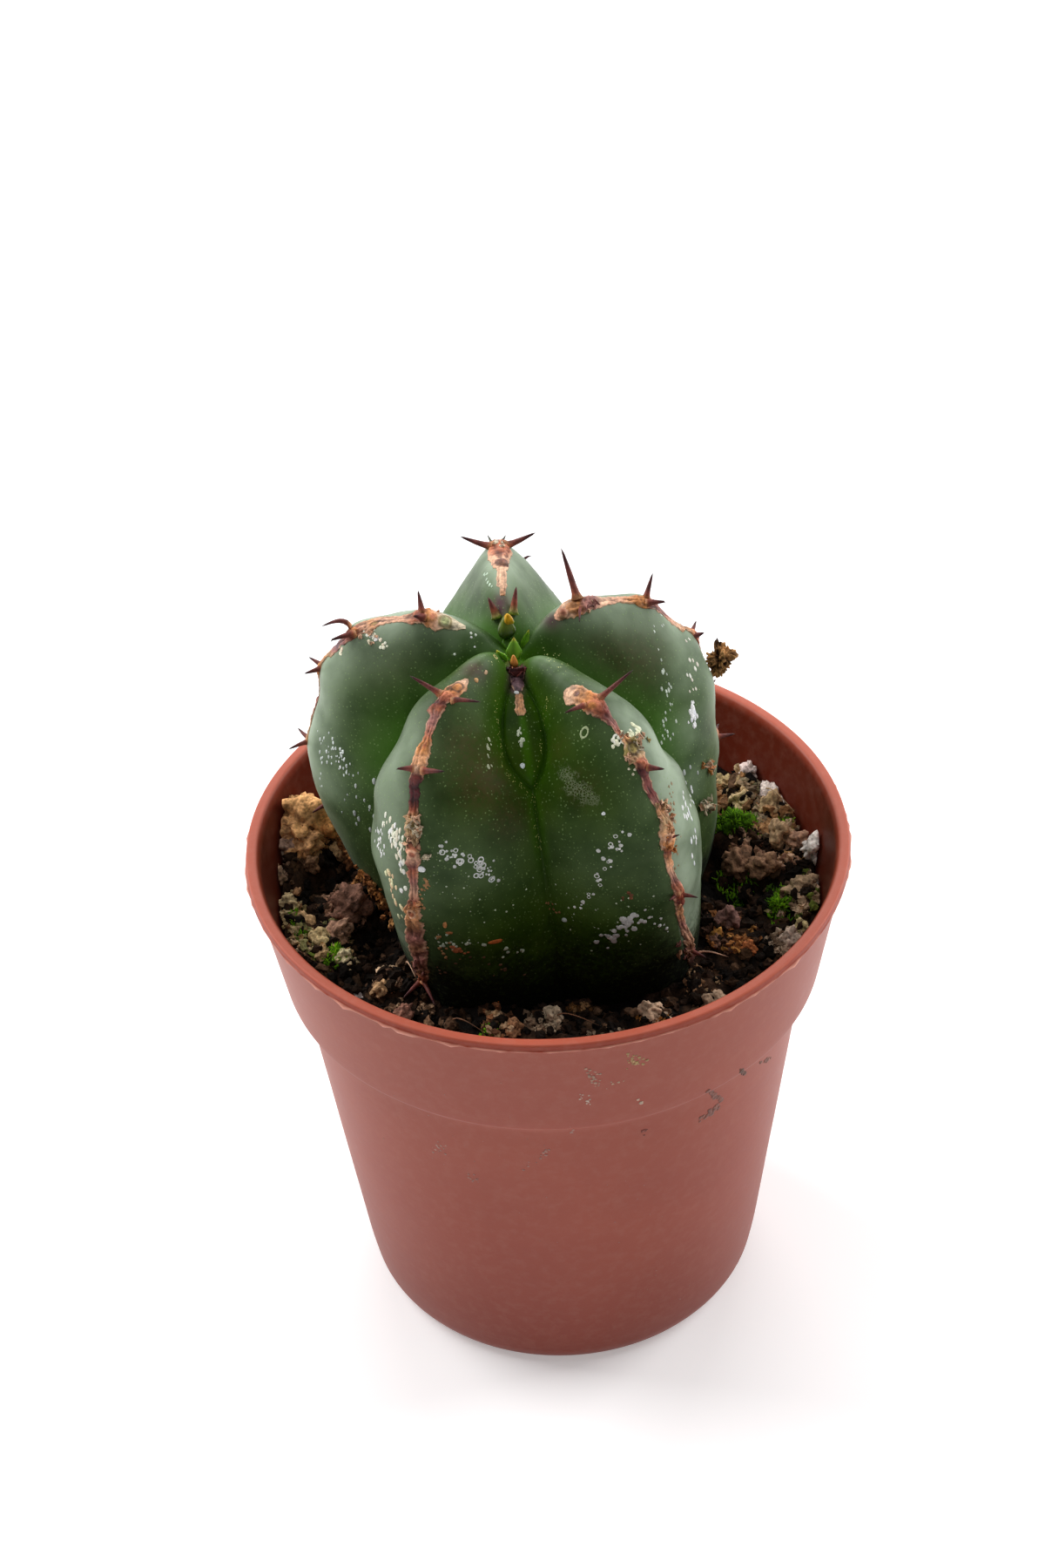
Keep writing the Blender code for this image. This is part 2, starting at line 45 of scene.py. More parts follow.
def addPrimitive(name, operator, **settings):
    bpy.ops.object.select_all(action="DESELECT")  # the frame's nodes are still selected
    operator(**settings)
    piece = bpy.context.object
    piece.name = piece.data.name = name
    bpy.ops.object.transform_apply(location=True, rotation=True, scale=True)
    return piece


def readPoints(piece):
    points = np.empty(len(piece.data.vertices) * 3)
    piece.data.vertices.foreach_get("co", points)
    return points.reshape(-1, 3) / mm


def movePoints(piece, points):
    piece.data.vertices.foreach_set("co", (np.asarray(points) * mm).ravel())
    piece.data.update()


def setAttribute(piece, name, values):
    values = np.asarray(values, float)
    if values.ndim == 1:
        layer = piece.data.attributes.new(name, "FLOAT", "POINT")
        layer.data.foreach_set("value", values)
        return
    layer = piece.data.attributes.new(name, "FLOAT_COLOR", "POINT")
    colours = np.column_stack([values, np.ones(len(values))])
    layer.data.foreach_set("color", colours.ravel())


def applyModifier(piece, kind, **settings):
    bpy.ops.object.select_all(action="DESELECT")
    piece.select_set(True)
    bpy.context.view_layer.objects.active = piece
    modifier = piece.modifiers.new(kind.lower(), kind)
    for key, value in settings.items():
        setattr(modifier, key, value)
    bpy.ops.object.modifier_apply(modifier=modifier.name)


def noiseAt(points, size, seed=0, octaves=2):
    # smooth noise, mostly from -0.6 to 0.6, with lumps of that size in millimetres
    pulls = np.random.default_rng(seed + 500).normal(size=(16, 16, 16, 3))
    total = np.zeros(len(points))
    for octave in range(octaves):
        spots = points / size * 2 ** octave + 5.3 * octave
        cells = np.floor(spots).astype(int)
        inside = spots - cells
        fade = inside ** 2 * (3 - 2 * inside)
        for corner in np.ndindex(2, 2, 2):
            weight = np.prod(np.where(corner, fade, 1 - fade), axis=1)
            pull = pulls[tuple(((cells + corner) % 16).T)]
            total += weight * np.sum(pull * (inside - corner), axis=1) * 0.5 ** octave
    return total


def smoothStep(value, low, high):
    t = np.clip((value - low) / (high - low), 0, 1)
    return t * t * (3 - 2 * t)


def bell(value, width):
    # 1 in the middle and falling away on both sides
    return np.exp(-((value / width) ** 2))


def finishPiece(piece, material, replaced=(), smooth=True):
    piece.data.materials.clear()
    piece.data.materials.append(material)
    if smooth:
        piece.data.shade_smooth()
    else:
        piece.data.shade_flat()
    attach(piece, "root")
    if replaced:
        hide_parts(*replaced)
    return piece


def joinPieces(name, pieces):
    bpy.ops.object.select_all(action="DESELECT")
    for piece in pieces:
        piece.select_set(True)
    bpy.context.view_layer.objects.active = pieces[0]
    bpy.ops.object.join()
    pieces[0].name = pieces[0].data.name = name
    return pieces[0]


def takeModel(piece):
    # the points and faces of a piece that is modelled once and then copied
    model = (readPoints(piece), [tuple(face.vertices) for face in piece.data.polygons])
    bpy.data.objects.remove(piece, do_unlink=True)
    return model


def copyModels(name, copies):
    # one mesh from copies, each of them points, faces and a tint for each point or for all
    points, faces, tints, start = [], [], [], 0
    for copyPoints, copyFaces, tint in copies:
        points.append(copyPoints)
        faces.extend(tuple(i + start for i in face) for face in copyFaces)
        tints.append(np.broadcast_to(tint, (len(copyPoints), 3)))
        start += len(copyPoints)
    mesh = bpy.data.meshes.new(name)
    mesh.from_pydata((np.concatenate(points) * mm).tolist(), [], faces)
    mesh.update()
    piece = bpy.data.objects.new(name, mesh)
    bpy.context.scene.collection.objects.link(piece)
    setAttribute(piece, "tint", np.concatenate(tints))
    return piece


def randomTurn(rng):
    axis = Vector(rng.normal(size=3)).normalized()
    return np.array(Matrix.Rotation(rng.uniform(0, 2 * pi), 3, axis))


# Small helpers for materials

def linear(colour):
    # an sRGB hex value as linear red, green and blue
    parts = np.array([int(colour[i:i + 2], 16) for i in (1, 3, 5)]) / 255
    return np.where(parts <= 0.04045, parts / 12.92, ((parts + 0.055) / 1.055) ** 2.4)


def startMaterial(name, roughness, ior=1.45):
    material = bpy.data.materials.new(name)
    material.use_nodes = True
    tree = material.node_tree
    shader = tree.nodes["Principled BSDF"]
    shader.inputs["Roughness"].default_value = roughness
    shader.inputs["IOR"].default_value = ior
    return material, tree, shader


def setInputs(tree, node, values):
    # by name or in the node's own order
    # a value is a node, for its first output, or a socket, a hex colour, or plain
    for key, value in values.items() if isinstance(values, dict) else enumerate(values):
        if isinstance(value, bpy.types.Node):
            value = next(socket for socket in value.outputs if socket.enabled)
        if isinstance(value, bpy.types.NodeSocket):
            tree.links.new(value, node.inputs[key])
        elif isinstance(value, str):
            node.inputs[key].default_value = (*linear(value), 1)
        else:
            node.inputs[key].default_value = value


def addNode(tree, kind, links=None, stops=None, **settings):
    node = tree.nodes.new("ShaderNode" + kind)
    for key, value in settings.items():
        setattr(node, key, value)
    for place, (position, colour) in enumerate(stops or ()):
        elements = node.color_ramp.elements
        element = elements[place] if place < len(elements) else elements.new(position)
        element.position = position
        element.color = (*linear(colour), 1)
    setInputs(tree, node, links or {})
    return node


def layer(tree, colour, tone, mask, most=1.0, pattern=None, low=0.0, high=1.0):
    # lays a tone over a colour where a mask is, broken up by a pattern
    if pattern is not None:
        broken = addNode(tree, "MapRange", (pattern, low, high))
        mask = addNode(tree, "Math", (mask, broken), operation="MULTIPLY")
    share = addNode(tree, "Math", (mask, most), operation="MULTIPLY", use_clamp=True)
    return addNode(tree, "Mix", {"Factor": share, "A": colour, "B": tone}, data_type="RGBA")


def finishMaterial(tree, shader, colour, relief, strength, depth, looks):
    bump = addNode(tree, "Bump", {"Height": relief, "Strength": strength, "Distance": depth * mm})
    setInputs(tree, shader, {"Base Color": colour, "Normal": bump, **looks})


def makeTintedMaterial(name, look):
    # the tint of each point, made lighter and darker by a grain and perhaps by cracks or pits
    # grain: size, detail, light from and to. cells: size, kind, light from and to. bump: strength, depth
    material, tree, shader = startMaterial(name, look["roughness"], look.get("ior", 1.45))
    place = addNode(tree, "TexCoord").outputs["Object"]
    size, detail, span = look["grain"]
    grain = addNode(tree, "TexNoise", {"Vector": place, "Scale": 1 / (size * mm), "Detail": detail})
    light, relief, looks = addNode(tree, "MapRange", (grain, *span)), grain, dict(look["shader"])
    if "cells" in look:
        size, feature, span = look["cells"]
        cells = addNode(tree, "TexVoronoi", {"Vector": place, "Scale": 1 / (size * mm)}, feature=feature)
        lines = addNode(tree, "MapRange", (cells, *span))
        light = relief = addNode(tree, "Math", (light, lines), operation="MULTIPLY")
    if "roughFrom" in look:
        looks["Roughness"] = addNode(tree, "MapRange", (grain, 0, 1, *look["roughFrom"]))
    tint = addNode(tree, "Attribute", attribute_name="tint")
    colour = addNode(tree, "Mix", {"Factor": 1.0, "A": tint, "B": light},
                     data_type="RGBA", blend_type="MULTIPLY")
    finishMaterial(tree, shader, colour, relief, *look["bump"], looks)
    return material


print("helpers ready")


# The camera stands where the photograph was taken from

cameraSetup = {
    "place": (-2.013, -270.039, 278.491),
    "pitchDown": 39.42,
    "roll": -2.69,
    "focalLength": 89.4,
    "sensor": 36,  # its height in mm
    "imageSize": (1200, 1800),
}


def cameraAxes():
    pitch, roll = radians(cameraSetup["pitchDown"]), radians(cameraSetup["roll"])
    right = np.array([1, 0, 0])
    back = np.array([0, -cos(pitch), sin(pitch)])
    up = np.cross(back, right)
    return np.array([cos(roll) * right + sin(roll) * up, cos(roll) * up - sin(roll) * right, back])


def buildCamera():
    data = bpy.data.cameras.new("camera")
    data.lens = cameraSetup["focalLength"]
    data.sensor_width = cameraSetup["sensor"]
    data.sensor_fit = "AUTO"
    camera = bpy.data.objects.new("camera", data)
    bpy.context.scene.collection.objects.link(camera)
    turn = Matrix(cameraAxes().T.tolist()).to_4x4()
    camera.matrix_world = Matrix.Translation(Vector(cameraSetup["place"]) * mm) @ turn
    bpy.context.scene.camera = camera


def photoRay(x, y):
    width, height = cameraSetup["imageSize"]
    scale = cameraSetup["focalLength"] / cameraSetup["sensor"] * height
    return cameraAxes().T @ np.array([(x - width / 2) / scale, (height / 2 - y) / scale, -1])


def photoHit(surface, x, y):
    # where a pixel of the 1200 by 1800 photograph falls on a surface: its point and normal
    eye, ray = Vector(cameraSetup["place"]) * mm, Vector(photoRay(x, y)).normalized()
    place, normal, _, _ = surface.ray_cast(eye, ray)
    return (None, None) if place is None else (np.array(place) / mm, np.array(normal))


buildCamera()
print("camera placed")


# Stem shape: ribs round a core point, on an axis that leans. It is the frame's own formula, at full size

stemShape = {
    "coreHeight": 56,
    "leanFoot": (.8, .7, 43.5),
    "leanTop": (-2.3, 2.1, 70),
    "footHeight": 38.4,
    "pitDepth": 3.4,
    "pitSpread": 11,
    "apexDistance": 13.6,
    "apexSpread": 9,  # the ribs meet in one point on the axis
    "turnPolar": 60,  # where each rib has its azimuth
    # azimuth, sideways turn, reach, height, squareness, taper, roundness before and after the crest
    "ribs": {
        "right": (24, 0, 17.8, 17, 3, 25, .25, .4),
        "back": (93, 0, 19.2, 18.2, 2.8, 32, .28, .25),
        "left": (167, 3, 20, 17.1, 2.7, 30, .4, .25),
        "front_left": (237, -5, 19.5, 17.2, 2.9, 34, 1.00, .4),
        "front_right": (307, 1.5, 18.8, 16.3, 3.2, 27, .45, 1.00),
    },
    "crestShift": {"left": -2.5, "right": 2.5},  # the tops of the side ribs lie behind their horny strips
    "shiftPolar": 34,
    "shiftSpread": 18,
    # polar angle and swelling of the crest at each knot
    "knots": {
        "right": ((23, .5), (43, .7), (61, .6), (79, .3), (96, .5)),
        "back": ((39, .7), (63, .5), (83, .5), (103, .4)),
        "left": ((25, .5), (45, .7), (61, .5), (84, .4), (103, .3)),
        "front_left": ((32, .5), (53, .7), (74, .5), (94, .4), (110, .3)),
        "front_right": ((36, .5), (56, .7), (75, .5), (94, .5), (114, .4)),
    },
    # how deep each kind of valley cuts, as a share of the crest's distance
    "valleyAngles": (0, 12, 25, 40, 57, 75, 100, 130, 180),
    "valleys": {
        "side": (0, .2, .36, .43, .4, .35, .28, .22, .2),
        "back": (0, .2, .32, .36, .35, .32, .27, .22, .2),
        "backLeft": (0, .15, .26, .32, .34, .32, .27, .22, .2),
        "front": (0, .22, .42, .45, .29, .27, .24, .18, .18),
    },
    "gaps": ("back", "backLeft", "side", "front", "side"),
    # the young rib in the front valley
    "youngAzimuth": 267,
    "youngAngles": (0, 19, 30, 48, 58, 70, 90, 180),
    "youngCrest": (13.2, 14.25, 14.9, 15.1, 14.3, 12.5, 8, 5),
    "youngWidth": (1.5, 2.7, 3.6, 3.7, 2.9, 2, 1.4, 1),
    "youngDrop": 1.3,
    "swellSpread": 5.5,
    "swellAcross": .28,
    "swellLoss": .12,  # between the knots
    "shoulder": .75,  # how far each knot's bulge goes on down the flanks, as a share of its swelling
    "shoulderDrop": 8,
    "shoulderSpread": (7.5, .42, .22),  # along the rib, and middle and width on the way to the valley
    "shoulderLoss": (.25, 20, 40),  # between the knots, and the polar angles where it begins and is full
    # creases beside the young rib and below it: width, polar angles where each begins and ends
    "youngCrease": (.5, (5, 12), (56, 66)),
    "frontCrease": (.028, (50, 60), (72, 92), .7),
    "groove": .34,
    # dents and swellings: azimuth, polar, spread of both, mm outwards
    "bumps": (
        (221, 37, 14, 9, .7), (219, 66, 14, 8, .4), (216, 85, 14, 12, .7), (328, 59, 12, 6, -1.1),
        (326, 75, 12, 6, -.3), (326, 104, 14, 9, -.8), (326, 120, 14, 10, -.8), (124, 57, 12, 9, 1),
        (108, 47, 9, 8, -.35), (78, 49, 6, 6, -.5), (168, 66, 14, 7, -.55), (172, 92, 14, 12, .85),
        (20, 72, 12, 7, .7), (15, 104, 12, 10, -.6),
    ),
    "ripple": .09,
}
ribNames = list(stemShape["ribs"])
frontGap = stemShape["gaps"].index("front")


def curveThrough(angles, values, at):
    angles, values = np.asarray(angles, float), np.asarray(values, float)
    slopes = np.gradient(values, angles)
    i = np.clip(np.searchsorted(angles, at, side="right") - 1, 0, len(angles) - 2)
    span = angles[i + 1] - angles[i]
    t = np.clip((at - angles[i]) / span, 0, 1)
    rise = (3 - 2 * t) * t * t
    bend = (t - 1) ** 2 * t * span * slopes[i] + (t - 1) * t * t * span * slopes[i + 1]
    return (1 - rise) * values[i] + rise * values[i + 1] + bend


def crestAzimuth(rib, polar):
    azimuth, turn = stemShape["ribs"][rib][:2]
    near = bell(polar - stemShape["shiftPolar"], stemShape["shiftSpread"])
    shift = stemShape["crestShift"].get(rib, 0) * near
    return azimuth + turn * (polar - stemShape["turnPolar"]) / stemShape["turnPolar"] + shift


def crestDistance(rib, polar):
    reach, height, squareness, taper = stemShape["ribs"][rib][2:6]
    side, up = np.sin(np.radians(polar)), np.cos(np.radians(polar))
    rise = np.clip(up, 0, None) / height
    above = ((side / reach) ** squareness + rise ** squareness) ** (-1 / squareness)
    below = 1 / np.sqrt((side / reach) ** 2 + (up / taper) ** 2)
    pit = stemShape["pitDepth"] * bell(polar, stemShape["pitSpread"])
    return np.where(up > 0, above, below) - pit


def youngDistance(azimuth, polar):
    crest = curveThrough(stemShape["youngAngles"], stemShape["youngCrest"], polar)
    width = curveThrough(stemShape["youngAngles"], stemShape["youngWidth"], polar)
    turn = (azimuth - stemShape["youngAzimuth"] + 180) % 360 - 180
    sideways = crest * np.sin(np.radians(np.clip(turn, -90, 90))) * np.sin(np.radians(polar))
    return np.where(abs(turn) < 60, crest - stemShape["youngDrop"] * (sideways / width) ** 2, 0)


def stemSurface(azimuth, polar):
    # distance from the core, how far from the crest towards the valley, and the young rib's lead
    azimuth, polar = np.broadcast_arrays(np.asarray(azimuth, float) % 360, np.asarray(polar, float))
    starts = np.stack([crestAzimuth(rib, polar) for rib in ribNames])
    gap = (np.sum(azimuth >= starts, axis=0) - 1) % 5
    following = (gap + 1) % 5

    def pick(rows, index):
        return np.take_along_axis(np.stack(rows), index[None], 0)[0]

    start = pick(starts, gap)
    share = ((azimuth - start) % 360) / ((pick(starts, following) - start) % 360)
    near = np.where(share < 0.5, gap, following)
    blend = share * share * (3 - 2 * share)
    crests = [crestDistance(rib, polar) for rib in ribNames]
    crest = pick(crests, gap) * (1 - blend) + pick(crests, following) * blend
    swells = [sum(size * bell(polar - at, stemShape["swellSpread"]) for at, size in knots)
              for knots in stemShape["knots"].values()]
    before, after = np.array([stemShape["ribs"][rib][6:8] for rib in ribNames]).T
    roundness = np.where(share < 0.5, after[gap], before[following])
    depths = [curveThrough(stemShape["valleyAngles"], stemShape["valleys"][kind], polar)
              for kind in stemShape["gaps"]]
    across = 1 - abs(1 - 2 * share)
    flank = (np.hypot(across, roundness) - roundness) / (np.hypot(1, roundness) - roundness)
    distance = crest * (1 - pick(depths, gap) * flank)
    distance += (pick(swells, near) - stemShape["swellLoss"]) * bell(across, stemShape["swellAcross"])
    tall, middle, wide = stemShape["shoulderSpread"]
    shoulders = [sum(size * bell(polar - at - stemShape["shoulderDrop"], tall) for at, size in knots)
                 for knots in stemShape["knots"].values()]
    loss, begin, end = stemShape["shoulderLoss"]
    bulge = pick(shoulders, near) - loss * smoothStep(polar, begin, end)
    distance += stemShape["shoulder"] * bulge * bell(across - middle, wide)
    for side, down, wide, tall, rise in stemShape["bumps"]:
        turn = (azimuth - side + 180) % 360 - 180
        distance += rise * np.exp(-((turn / wide) ** 2) - ((polar - down) / tall) ** 2)
    lead = youngDistance(azimuth, polar) - distance
    distance = np.maximum(distance, distance + lead)
    wide, begin, end = stemShape["youngCrease"]
    crease = bell(lead, wide) * smoothStep(polar, *begin) * (1 - smoothStep(polar, *end))
    wide, begin, end, fade = stemShape["frontCrease"]
    lower = bell(1 - across, wide) * smoothStep(polar, *begin) * (1 - fade * smoothStep(polar, *end))
    distance -= stemShape["groove"] * np.maximum(crease, lower * (gap == frontGap))
    meeting = smoothStep(polar, 0, stemShape["apexSpread"])
    return distance * meeting + stemShape["apexDistance"] * (1 - meeting), across, lead


def stemPoint(azimuth, polar, distance):
    azimuth, polar = np.radians(azimuth), np.radians(polar)
    height = stemShape["coreHeight"] + distance * np.cos(polar)
    foot, top = stemShape["leanFoot"], stemShape["leanTop"]
    lean = (height - foot[2]) / (top[2] - foot[2])
    x = distance * np.sin(polar) * np.cos(azimuth) + foot[0] + lean * (top[0] - foot[0])
    y = distance * np.sin(polar) * np.sin(azimuth) + foot[1] + lean * (top[1] - foot[1])
    return np.stack(np.broadcast_arrays(x, y, height), axis=-1)


def onStem(azimuth, polar, lift=0.0):
    distance = stemSurface(azimuth, polar)[0]
    smooth = stemPoint(azimuth, polar, distance).reshape(-1, 3)
    ripple = noiseAt(smooth, 5.0, 1) + 0.35 * noiseAt(smooth, 1.4, 2)
    ripple = ripple.reshape(distance.shape) * stemShape["ripple"] * smoothStep(polar, 4, 14)
    return stemPoint(azimuth, polar, distance + ripple + lift)


def crestLine(rib, polar):
    return crestAzimuth(rib, polar) if rib in ribNames else stemShape["youngAzimuth"] + 0 * polar


def crestFrame(rib, polar):
    # sideways (anticlockwise from above), outward and along, at a point of a crest
    ends = [onStem(crestLine(rib, p), p) for p in (polar - 2, polar + 2)]
    along = (ends[1] - ends[0]) / np.linalg.norm(ends[1] - ends[0])
    azimuth = radians(crestLine(rib, polar))
    outward = np.cross(along, (-sin(azimuth), cos(azimuth), 0))
    outward /= np.linalg.norm(outward)
    return np.cross(outward, along), outward, along


# Stem skin

stemSkin = {
    "columns": (78, 78, 78, 108, 78),  # round the stem, in each gap between two ribs
    "rows": 228,
    "lowestRow": 146,
    "soilLine": 43,
    # where the masks begin and are full: polar angles, or shares of the way from crest to valley
    "zones": {
        "upper": (58, 96), "valley": (.45, .95), "valleyFloor": (.88, 1), "valleyShadeLine": (.965, 1),
        "youngEnd": (50, 68), "creaseShadeStart": (6, 14), "creaseShadeEnd": (56, 64), "lineEnd": (62, 100),
        "frontLine": (50, 58), "flankStart": (22, 50), "flankEnd": (105, 125),
        "awayFromFront": (-.75, .1), "frontSoilAndShade": (.2, .9),
    },
    "soilAndShadeHeight": (7, 5.5),  # soil on the foot and painted shade: how high above the soil line all round, and how much more in front, where it stands for shade
    "soilWave": 1.8,
    "frontGreen": .8,
    "creaseShadeDepth": .75,
    "flank": (.2, .42),  # middle and width of the bloom and painted sheen on a flank
    "rearSpread": 45,
    "apexSpread": 14,
    "youngGlow": .9,  # how far the fresh green reaches from the young rib
    "creaseShadeWidth": .33,
    "edgeWidth": .3,
    # bloom and painted sheen: on all edges, on the sides turned away and more at the back and on their edges
    "bloomAndSheen": {"edge": .14, "outer": .1, "rear": .18, "outerEdge": .75},
    "turnedFlankSheen": (.55, .9),  # bloom and painted sheen on the flanks of the left and of the right rib that face the camera
    # patches: photo x, y, radius, strength
    "bruised": (
        (556, 895, 3.2, .9), (535, 860, 2.4, .7), (545, 768, 1.3, .7), (585, 935, 2.4, .6),
        (668, 905, 2, .4), (640, 860, 1.6, .3), (735, 750, 3.2, .7), (700, 745, 2.2, .5), (450, 760, 3, .2),
    ),
    "mauve": (
        (574, 692, .9, 1), (574, 700, .8, 1), (592, 780, .8, 1.2), (592, 790, .7, 1.1), (591, 772, .9, 1.2),
        (633, 712, .8, .9), (545, 768, .9, .4), (540, 772, .8, .3),
    ),
    # painted sheen and highlights where lamps glance off crests and faces, with a little pale bloom
    "sheenAndFrost": (
        (782, 775, 2.2, .5), (793, 838, 2.2, .55), (796, 895, 2.2, .5), (794, 948, 2, .4),
        (372, 850, 2.2, .5), (380, 902, 2.2, .4), (540, 1000, 4.5, .22), (690, 1000, 4.5, .2),
        (618, 756, .9, .4), (627, 759, .8, .5), (636, 766, .8, .55), (645, 775, .8, .55), (654, 785, .7, .4),
        (686, 705, 1.2, .4), (700, 703, 1.2, .5), (715, 701, 1.2, .5), (730, 705, 1.2, .4),
        (520, 738, 1, .35), (545, 737, 1, .35), (560, 742, 1, .4), (540, 760, .8, .3), (556, 757, .8, .35),
        (602, 662, 1.6, .3),
    ),
    "scarred": (
        (648, 888, .8, .75), (655, 893, .8, .6), (656, 902, .9, .85), (666, 906, .9, .8),
        (675, 914, .8, .85), (683, 918, .6, .7), (668, 918, .5, .6),
    ),
}


def modelStem():
    columns = sum(stemSkin["columns"])
    stem = addPrimitive("ribbedStem", bpy.ops.mesh.primitive_uv_sphere_add,
                        segments=columns, ring_count=stemSkin["rows"], radius=mm)
    ball = readPoints(stem)
    turn = np.degrees(np.arctan2(ball[:, 1], ball[:, 0])) % 360
    column = np.rint(turn / 360 * columns).astype(int) % columns
    share = np.degrees(np.arccos(np.clip(ball[:, 2], -1, 1))) / 180
    last = 1 - 2 / stemSkin["rows"]
    polar = np.where(share <= last, share / last * stemSkin["lowestRow"], 180)
    gapOf = np.repeat(np.arange(5), stemSkin["columns"])[column]
    firsts = np.cumsum((0, *stemSkin["columns"]))[gapOf]
    part = (column - firsts) / np.array(stemSkin["columns"])[gapOf]
    starts = np.stack([crestAzimuth(rib, polar) for rib in ribNames])
    start = np.take_along_axis(starts, gapOf[None], 0)[0]
    end = np.take_along_axis(starts, ((gapOf + 1) % 5)[None], 0)[0]
    azimuth = start + part * ((end - start) % 360) + 1e-6
    points = onStem(azimuth, polar)
    points[:, 2] = np.maximum(points[:, 2], stemShape["footHeight"])
    movePoints(stem, points)
    paintStem(stem, points, azimuth, polar, gapOf, part)
    return stem


def paintStem(stem, points, azimuth, polar, gapOf, part):
    def zone(value, name):
        return smoothStep(value, *stemSkin["zones"][name])

    _, across, lead = stemSurface(azimuth, polar)
    front = gapOf == frontGap
    upper = 1 - zone(polar, "upper")
    nearYoung = np.exp(-abs(lead) / stemSkin["youngGlow"]) * (1 - zone(polar, "youngEnd"))
    frontGreen = np.maximum(nearYoung, stemSkin["frontGreen"] * zone(across, "valleyFloor") * upper)
    apex = bell(polar, stemSkin["apexSpread"])
    fresh = np.where(front, frontGreen, zone(across, "valley") * upper)
    setAttribute(stem, "fresh", np.clip(np.maximum(fresh, apex), 0, 1))

    # painted shade: dark green along the young rib's creases and in the valley bottoms
    creaseShade = stemSkin["creaseShadeDepth"] * bell(lead, stemSkin["creaseShadeWidth"]) * (1 - zone(polar, "creaseShadeEnd"))
    valleyShadeLine = zone(across, "valleyShadeLine") * (1 - zone(polar, "lineEnd"))
    creaseShade = np.maximum(creaseShade, valleyShadeLine * np.where(front, zone(polar, "frontLine"), 1))
    setAttribute(stem, "creaseShade", creaseShade * zone(polar, "creaseShadeStart"))

    share = stemSkin["bloomAndSheen"]
    edge = bell(across, stemSkin["edgeWidth"])
    facing = np.cos(np.radians(azimuth - 270))  # the side towards the front gets less bloom and less painted sheen
    outer = zone(-facing, "awayFromFront")
    middle, width = stemSkin["flank"]
    flank = bell(across - middle, width) * zone(polar, "flankStart") * (1 - zone(polar, "flankEnd"))
    left, right = (gapOf == frontGap - 1) & (part > 0.5), (gapOf == frontGap + 1) & (part < 0.5)
    turned = left * stemSkin["turnedFlankSheen"][0] + right * stemSkin["turnedFlankSheen"][1]
    rear = bell(azimuth - stemShape["ribs"]["back"][0], stemSkin["rearSpread"])
    # partly real bloom and partly painted sheen, paler where the lamps at the sides and back graze the skin
    outer = outer * (share["outer"] + share["rear"] * rear + share["outerEdge"] * edge)
    bloomAndSheen = np.maximum(edge * share["edge"] + outer, turned * flank)
    setAttribute(stem, "bloomAndSheen", np.clip(bloomAndSheen, 0, 1) * (1 - apex))

    # soil on the stem's foot all round, and painted shade reaching higher on its lower front
    line = stemSkin["soilLine"] + stemSkin["soilWave"] * noiseAt(points, 3.0, 6)
    splashed, inFront = stemSkin["soilAndShadeHeight"]
    reach = line + splashed + inFront * zone(facing, "frontSoilAndShade")
    setAttribute(stem, "soiledAndShaded", 1 - smoothStep(points[:, 2], line + 1.0, reach))


def paintSpots(piece, surface, name, spots):
    points = readPoints(piece)
    mask = np.zeros(len(points))
    for x, y, radius, strength in spots:
        place, _ = photoHit(surface, x, y)
        mask = np.maximum(mask, strength * bell(np.linalg.norm(points - place, axis=1), radius))
    setAttribute(piece, name, mask)


# Euphorbia skin: green tissue under a thick waxy cuticle, so it is dark and satin, with a grey bloom and
# painted sheen on the ribs' edges, painted shade in the creases and at the foot, a fine pale stipple of pores
# and a fresher green where it has just grown
skinLook = {
    "roughness": 0.42,
    "ior": 1.42,
    "patterns": {"cloud": (4, 3), "grain": (0.45, 2)},  # size in mm, detail
    "green": ((0.32, "#203806"), (0.68, "#344C0B")),
    # mask, tone, strength, the pattern that breaks it up and where that begins and is full
    "layers": (
        ("fresh", "#3C6A02", 0.85, "cloud", 0.05, 0.5),
        ("bruised", "#4D3A22", 0.75, "grain", 0.1, 0.6),
        # bloom and painted sheen on the edges and on the sides turned away
        ("bloomAndSheen", "#A9B8A2", 0.85, "cloud", 0.05, 0.62),
        # painted sheen and highlights
        ("sheenAndFrost", "#93A68A", 0.7, "cloud", 0.1, 0.6),
        ("mauve", "#5F4149", 0.95, None, 0, 1),
    ),
    # real pores are about 0.05 mm across and 0.2 mm apart, drawn half as large again to show
    "poreSize": 0.33,
    "poreEdge": (0.26, 0.12),
    "pores": ("#86A066", 0.65),
    # tone and strength of the painted shade in the creases
    "creaseShade": ("#0F2403", 0.55),
    "crackSize": 0.22,
    "crackEdge": (0.16, 0.04),
    "scars": ("#7B8468", 0.6),
    "scarEdge": (0.75, 1.05),
    # near black: soil on the foot and painted shade
    "soil": ("#0B0B06", 0.96),
    "soilAndShadeGrain": (0.65, 0.3, 0, 0.8),
    "soilAndShadeEdge": (0.45, 1.25),
    "roughFrom": (0.34, 0.48),
    "bump": (0.3, 0.04),
    "shader": {"Specular IOR Level": 0.08, "Sheen Weight": 0.03, "Sheen Roughness": 0.35,
               "Sheen Tint": "#DDE6D6"},
}


